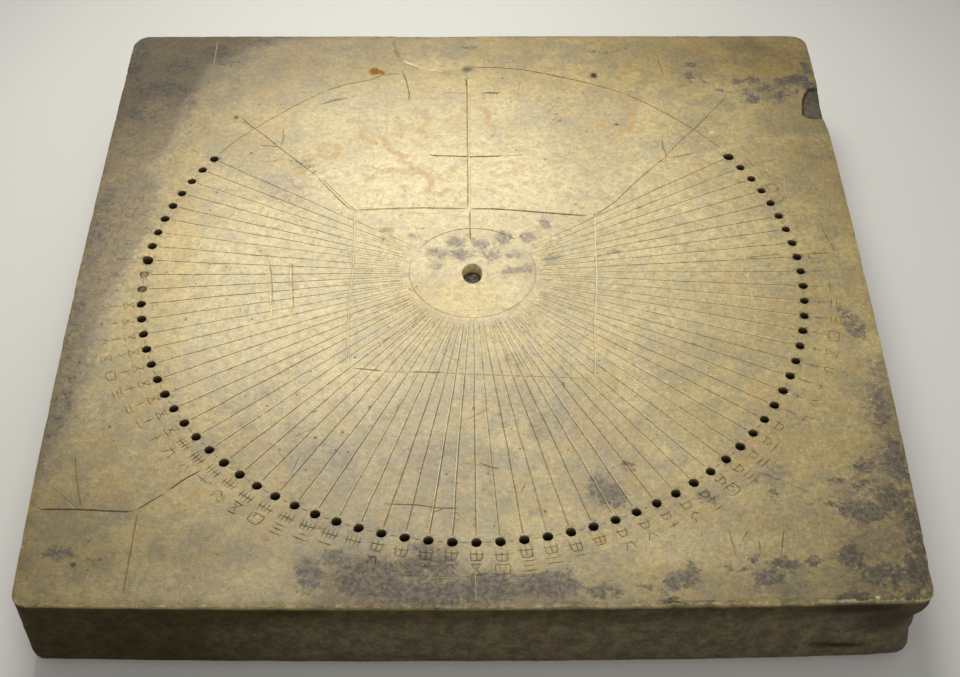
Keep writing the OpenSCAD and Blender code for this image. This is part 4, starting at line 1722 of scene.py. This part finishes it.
    def face_levels(self, points: Array) -> dict[str, Array]:
        """The face's attributes: the strongest of each kind of spot, region or stroke.

        Shade, which paints the light's fall-off with some ingrained dirt at the margins, also grows from an
        oval round the dial to the corners. The chip's floor is dark, with painted shadow along its lip, and
        the crest of the flake has a painted highlight. The cream spots also paint the pool of light on the
        face.

        Args:
            points: places from the dial's centre, one row each.

        Returns:
            One array for each attribute, by name.
        """
        x, y = points.T
        stains = [smoothstep(2.6, 0.5, gap_to(points, resample(path, 1.5))) for path in STAINS]
        lip = gap_to(points, CHIP_LIP)
        chip = (self.relief.chip(points) > 0.02).astype(float)
        # The chip's floor is dark, with painted shadow along its lip, darker towards its back
        chip_floor_and_shadow = 0.36 + 0.5 * smoothstep(1.5, 0.5, lip) + 0.2 * smoothstep(93.0, 98.0, y)
        flaked = smoothstep(0.05, 0.4, self.relief.flake(points))
        crest = gap_to(points, np.array(FLAKE_LIP) + np.array([0.4, 0.9]))
        stretch = smoothstep(-29.5, -27.0, x) * (1.0 - 0.65 * smoothstep(-17.0, -11.0, x))
        # Painted highlight on the crest of the flake
        crest_highlight = 0.9 * smoothstep(1.1, 0.2, crest) * smoothstep(0.0, 0.3, flaked) * stretch
        white = strongest(WHITE_SPECKS, points)
        pits = 0.45 * smoothstep(0.02, 0.14, self.relief.pit(points))
        # Painted shade: the light falls off from an oval round the dial towards the corners
        radius = np.hypot((x - 16.0) * np.where(x < 16.0, 0.87, 1.0), y + 8.0)
        shaded = np.sum([spot.field(points) for spot in SHADED], axis=0)
        return {
            "cream": strongest(CREAM_AND_LIGHT, points),
            "stain": np.max(stains, axis=0),
            "rust": strongest(RUST, points),
            "patina": np.maximum(strongest(PATINA, points), chip),
            "shade": smoothstep(90.0, 178.0, radius) + shaded,
            "warm": strongest(WARM, points),
            "cool": smoothstep(60.0, 40.0, lengths(points)),
            "veil": strongest(VEILS, points),
            "bruise_and_highlight": np.max([self.relief.marks(points, PALE), crest_highlight, white], axis=0),
            # The chip's dark line along its lip is painted shadow
            "dirt": np.max([self.relief.marks(points, DARK), pits, chip * smoothstep(1.6, 0.4, lip)], axis=0),
            "worn": 0.5 * smoothstep(0.7, 0.1, self.relief.edge_distance(points)),
            "hole": np.maximum(0.85 * strongest(DARK_SPOTS, points), chip * chip_floor_and_shadow),
        }

    def ground(self) -> Array:
        """Free points between the strokes: a jittered grid, denser in the chip and on the flake.

        Returns:
            Places that are clear of every stroke, socket, pit and edge.
        """
        axis = np.arange(-136.0, 136.5, self.ground_step)
        fine = np.arange(0.0, 22.0, 0.8)
        far = np.arange(0.0, 36.0, 1.1)
        chip = lattice(127.6 + fine[:12], 83.2 + fine)
        flake = lattice(far - 33.0, 111.0 + far[:24])
        points = np.concatenate([lattice(axis, axis), chip, flake])
        points += np.random.default_rng(self.seed).uniform(-self.jitter, self.jitter, points.shape)
        free = self.relief.edge_distance(points) > 3.4
        for hole in (*self.rim_holes, self.centre_hole):
            free &= lengths(points - np.array(hole.centre)) > max(hole.half_sizes) * 1.12 + 0.2
        for stroke in self.strokes:
            near = stroke.near(points)
            if len(near):
                free[near] &= gap_to(points[near], stroke.path) > stroke.width / 2.0 + self.ground_clearance
        for lip in (FLAKE_LIP, CHIP_LIP):
            free &= gap_to(points, lip) > 0.35
        for x, y, radius, _ in self.relief.pits:
            free &= np.hypot(points[:, 0] - x, points[:, 1] - y) > radius + 0.25
        return points[free]

    def face(self, edge: Array, mouths: list[Array]) -> tuple[Array, Array]:
        """Triangulates the face inside its edge and round the sockets' mouths.

        Args:
            edge: the outer loop, from the dial's centre.
            mouths: the sockets' mouths, counter-clockwise.

        Returns:
            The corners with their heights, and the triangles.
        """
        net = FaceNet()
        for ring in (edge, *mouths):
            net.add_ring(ring)
        for inset in self.border_rings:
            net.add_path(self.outline.loop(inset) - np.array(self.dial.centre), True)
        for stroke in self.strokes:
            for rail in stroke.rails():
                net.add_path(rail)
        for lip, beside in ((FLAKE_LIP, 0.8), (CHIP_LIP, -0.7)):
            path = resample(lip, 1.2)
            net.add_path(path)
            net.add_path((path + beside * left_normals(path))[1:-1])
        circle = heading(np.linspace(0.0, 2.0 * np.pi, 7)[:-1])
        pits = self.relief.pits
        net.add_points((pits[:, None, :2] + pits[:, None, 2:3] * circle).reshape(-1, 2))
        net.add_points(pits[:, :2])
        target = np.vstack([[[0.0, 0.0]], 0.6 * circle, 1.25 * circle])
        for spot in (*RUST, *DARK_SPOTS, *WHITE_SPECKS):
            net.add_points(target * np.array([spot.across, spot.along]) + np.array([spot.x, spot.y]))
        for stain in STAINS:
            path = resample(stain, 1.6)
            normals = left_normals(path)
            net.add_points(np.vstack([path + share * normals for share in (-2.2, -1.1, 0.0, 1.1, 2.2)]))
        net.add_points(self.ground())
        xy, triangles = net.triangulate()
        return np.column_stack([xy, self.relief.height(xy)]), triangles

    def build(self) -> bpy.types.Object:
        """Builds the slab and dresses it.

        Returns:
            The finished piece.
        """
        parts = MeshParts(self.attributes)
        grid, side_levels = self.side_grid()
        sockets = [hole.rings(self.relief) for hole in (*self.rim_holes, self.centre_hole)]
        corners, triangles = self.face(grid[0, :, :2], [rings[0, :, :2] for rings in sockets])
        corners[:, 2] = self.meet_edge(corners, grid[0])
        parts.add(self.placed(corners), triangles, 0, **self.face_levels(corners[:, :2]))
        for rings in sockets:
            self.add_socket(parts, rings, rings is sockets[-1])
        parts.add_rings(self.placed(grid), 1, True, **side_levels)
        self.add_underside(parts, grid[-1, :, :2])
        finishes = [
            LimestoneFinish("polished_limestone", 0.44, 0.5, 0.55).material(),
            LimestoneFinish("rough_limestone", 0.72, 0.16, 1.0).material(),
        ]
        made = parts.object("dial_slab_stone", finishes, self.sharp_angle)
        LOG.info("slab: %d strokes, %d triangles", len(self.strokes), len(made.data.polygons))
        return made

    def meet_edge(self, corners: Array, edge: Array) -> Array:
        """Heights of the face's corners, where those on the edge take the edge's own heights.

        Args:
            corners: the face's corners.
            edge: the first ring of the sides.

        Returns:
            One height for each corner.
        """
        near = np.flatnonzero(self.relief.edge_distance(corners[:, :2]) < 3.5)
        height = corners[:, 2].copy()
        gap = np.abs(corners[near, None, :2] - edge[None, :, :2]).max(axis=-1)
        match = gap.argmin(axis=1)
        same = gap[np.arange(len(near)), match] < 1e-4
        height[near[same]] = edge[match[same], 2]
        return height

    def placed(self, points: Array) -> Array:
        """Moves points from the dial's centre to the part's origin."""
        return points + np.array([*self.dial.centre, 0.0])

    def add_socket(self, parts: MeshParts, rings: Array, at_centre: bool) -> None:
        """Adds a socket's wall and bottom, with painted shade that deepens with depth.

        Args:
            parts: where they go.
            rings: the socket's rings from the mouth down.
            at_centre: whether it is the centre socket, whose upper wall gets painted light and painted shade
                only deeper down.
        """
        depth = rings[0, :, 2].mean() - rings[..., 2]
        face = self.face_levels(rings[0, :, :2])
        levels = {name: value * np.exp(-depth / 0.5) for name, value in face.items()}
        # Painted shade in the socket, growing with depth; the centre socket's wall stays lit further down
        dark = smoothstep(2.4, 5.0, depth) if at_centre else 0.55 + 0.45 * smoothstep(0.1, 1.8, depth)
        levels["hole"] = dark
        # Painted light on the centre socket's upper wall, as cream
        levels["cream"] = 0.9 * at_centre * smoothstep(5.0, 3.0, depth)
        parts.add_rings(self.placed(rings), 1, False, **levels)
        # The socket's bottom is all dark: painted shade
        parts.add_cap(self.placed(rings[-1]), 1, True, hole=1.0)

    def add_underside(self, parts: MeshParts, edge: Array) -> None:
        """Closes the underside with a coarse net, turned to face down.

        Args:
            parts: where it goes.
            edge: the underside's outline, from the dial's centre.
        """
        net = FaceNet()
        net.add_ring(rounded(edge))
        axis = np.arange(-120.0, 121.0, 12.0)
        net.add_points(lattice(axis, axis))
        here = np.arange(len(edge))
        net.edges.append(np.stack([here, np.roll(here, -1)], axis=-1))
        xy, triangles = net.triangulate()
        parts.add(self.placed(np.column_stack([xy, np.zeros(len(xy))])), triangles[:, ::-1], 1, side=1.0)


@dataclass
class SocketPlug:
    """Matter packed in a socket: a tapered plug with a crumbled top that may slope.

    The top's height at a share s of the radius is the top level less the slope's fall across it, plus noise.
    """

    centre: tuple[float, float]
    top_radius: float
    foot_radius: float
    top: float
    foot: float
    fall: tuple[float, float]
    crumble: float
    seed: int
    around: int
    stretch: float = 1.0
    shares: tuple[float, ...] = (1.0, 0.92, 0.8, 0.66, 0.52, 0.38, 0.24, 0.12)

    def add_to(self, parts: MeshParts) -> None:
        """Adds the plug's top, wall and foot.

        Args:
            parts: where they go.
        """
        circle = heading(2.0 * np.pi * np.arange(self.around) / self.around) * np.array([1.0, self.stretch])
        top = np.stack([self.surface(share * self.top_radius * circle) for share in self.shares])
        below = np.linspace(self.top - 1.6 - np.hypot(*self.fall) * self.top_radius, self.foot, 6)
        radius = np.interp(below, [self.foot, self.top], [self.foot_radius, self.top_radius])
        height = np.broadcast_to(below[:, None, None], (len(below), self.around, 1))
        wall = np.concatenate([radius[:, None, None] * circle, height], axis=-1)
        rings = np.concatenate([top[::-1], wall])
        rings[..., :2] += np.array(self.centre)
        parts.add_rings(rings, 0, True)
        parts.add_cap(rings[0], 0, True)
        parts.add_cap(rings[-1], 0, False)

    def surface(self, offset: Array) -> Array:
        """Points of the top at offsets from the plug's axis."""
        slope = offset @ np.array(self.fall)
        grains = self.crumble * Noise(1.1, self.seed, 3).at(offset + 40.0)
        rim = 0.25 * smoothstep(0.8, 1.0, lengths(offset) / self.top_radius)
        return np.column_stack([offset, self.top - slope + grains - rim])


@dataclass
class SocketFills:
    """The earth in the centre socket, and the crust in the 59th and 60th rim sockets."""

    dial: Dial = field(default_factory=Dial)
    earth_depth: float = 3.5

    def placed(self, point: Array) -> tuple[float, float]:
        """A place on the face, given in the part."""
        return tuple(self.dial.to_part(point))

    def earth(self) -> bpy.types.Object:
        """The earth plug, with its crumbled top 3.5 mm below the face."""
        parts = MeshParts()
        place = self.placed(np.array(self.dial.centre_socket))
        top, foot = THICKNESS - self.earth_depth, THICKNESS - 13.9
        SocketPlug(place, 3.3, 2.4, top, foot, (0.03, -0.05), 0.5, 81, 56, 1.24).add_to(parts)
        return parts.object("centre_socket_earth", [EarthFinish().material()], 45.0)

    def crust(self) -> bpy.types.Object:
        """The two crusts: one slopes steeply from the far side, the other leaves only a slit.

        Returns:
            Both as one piece.
        """
        parts = MeshParts()
        for number, slope, drop in ((59, 0.75, 1.5), (60, 0.3, 0.72)):
            outward, across = self.dial.directions(number)
            place = self.placed(self.dial.rim_radius * outward)
            top, foot = THICKNESS - drop, THICKNESS - 9.6
            fall = tuple(slope * across)
            SocketPlug(place, 1.56, 1.42, top, foot, fall, 0.16, 90 + number, 32).add_to(parts)
        return parts.object("rim_socket_crust", [CrustFinish().material()], 45.0)


# Floor, lamps and camera


@dataclass(frozen=True)
class Studio:
    """A plain pale floor, soft lamps and the photograph's viewpoint."""

    image_width: int = 960
    sensor: float = 36.0
    focal_pixels: float = 1545.5
    camera_place: tuple[float, float, float] = (-1.68, -386.01, 414.79)
    camera_turns: tuple[float, float, float] = (42.919, -0.681, 0.326)
    floor_colour: Colour = (0.80, 0.80, 0.77)
    floor_half: float = 3.0
    key_place: tuple[float, float, float] = (-0.06, 0.40, 0.50)
    key_aim: tuple[float, float, float] = (-0.025, 0.03, 0.034)
    key_size: float = 0.30
    key_power: float = 0.66
    key_spread: float = 75.0
    key_colour: Colour = (1.0, 0.97, 0.90)
    fill_place: tuple[float, float, float] = (0.25, -0.9, 0.7)
    fill_size: float = 0.8
    fill_power: float = 2.4
    fill_colour: Colour = (1.0, 0.99, 0.96)
    sky: Colour = (1.0, 0.985, 0.95)
    sky_strength: float = 0.25
    backdrop: float = 0.88

    def camera(self) -> None:
        """Places the camera: its place, then its yaw about Z, its pitch about X and its own roll."""
        pitch, yaw, roll = np.radians(self.camera_turns)
        data = bpy.data.cameras.new("camera")
        data.sensor_width = self.sensor
        data.lens = self.focal_pixels * self.sensor / self.image_width
        data.clip_start = 0.01
        made = bpy.data.objects.new("camera", data)
        turn = Matrix.Rotation(yaw, 4, "Z") @ Matrix.Rotation(pitch, 4, "X") @ Matrix.Rotation(roll, 4, "Z")
        made.matrix_world = Matrix.Translation(Vector(self.camera_place) * MM) @ turn
        bpy.context.scene.collection.objects.link(made)
        bpy.context.scene.camera = made

    def lamp(self, name: str, place: tuple, size: float, power: float, spread: float, colour: Colour) -> None:
        """Adds a soft square lamp that is aimed at the dial.

        Args:
            name: the lamp's name.
            place: where it hangs, in metres.
            size: its side, in metres.
            power: its power, in watts.
            spread: the full angle of its beam, in degrees.
            colour: its colour.
        """
        data = bpy.data.lights.new(name, "AREA")
        data.shape = "SQUARE"
        data.size = size
        data.energy = power
        data.spread = np.radians(spread)
        data.color = colour
        made = bpy.data.objects.new(name, data)
        aim = Vector(self.key_aim) - Vector(place)
        made.matrix_world = Matrix.Translation(place) @ aim.to_track_quat("-Z", "Y").to_matrix().to_4x4()
        bpy.context.scene.collection.objects.link(made)

    def floor(self) -> None:
        """A large plain plane under the slab."""
        half = self.floor_half
        mesh = bpy.data.meshes.new("floor")
        corners = [(-half, -half, 0.0), (half, -half, 0.0), (half, half, 0.0), (-half, half, 0.0)]
        mesh.from_pydata(corners, [], [(0, 1, 2, 3)])
        graph = Graph("pale_floor")
        mesh.materials.append(graph.finish(0.2, base_color=self.floor_colour, roughness=0.8))
        made = bpy.data.objects.new("floor", mesh)
        bpy.context.scene.collection.objects.link(made)

    def sky_light(self) -> None:
        """Even soft light from all round, which the camera sees as a pale background."""
        world = bpy.data.worlds.new("soft_light")
        world.use_nodes = True
        tree = world.node_tree
        background = tree.nodes["Background"]
        background.inputs["Color"].default_value = (*self.sky, 1.0)
        path = tree.nodes.new("ShaderNodeLightPath")
        seen = tree.nodes.new("ShaderNodeMapRange")
        seen.inputs["To Min"].default_value = self.sky_strength
        seen.inputs["To Max"].default_value = self.backdrop
        tree.links.new(path.outputs["Is Camera Ray"], seen.inputs["Value"])
        tree.links.new(seen.outputs[0], background.inputs["Strength"])
        bpy.context.scene.world = world

    def build(self) -> None:
        """Sets up everything round the object."""
        bpy.context.scene.view_settings.view_transform = "Standard"
        self.camera()
        self.lamp("key", self.key_place, self.key_size, self.key_power, self.key_spread, self.key_colour)
        self.lamp("fill", self.fill_place, self.fill_size, self.fill_power, 180.0, self.fill_colour)
        self.floor()
        self.sky_light()


def main() -> None:
    """Builds each piece in order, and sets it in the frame."""
    logging.basicConfig(level=logging.INFO, format="%(name)s: %(message)s")
    Studio().build()
    slab = DialSlab().build()
    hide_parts("dial_slab")
    fills = SocketFills()
    earth = fills.earth()
    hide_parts("centre_socket_fill")
    crust = fills.crust()
    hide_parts("rim_socket_fills")
    for piece in (slab, earth, crust):
        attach(piece, "root")
        LOG.info("%s: %d triangles", piece.name, len(piece.data.polygons))


if __name__ == "__main__":
    main()
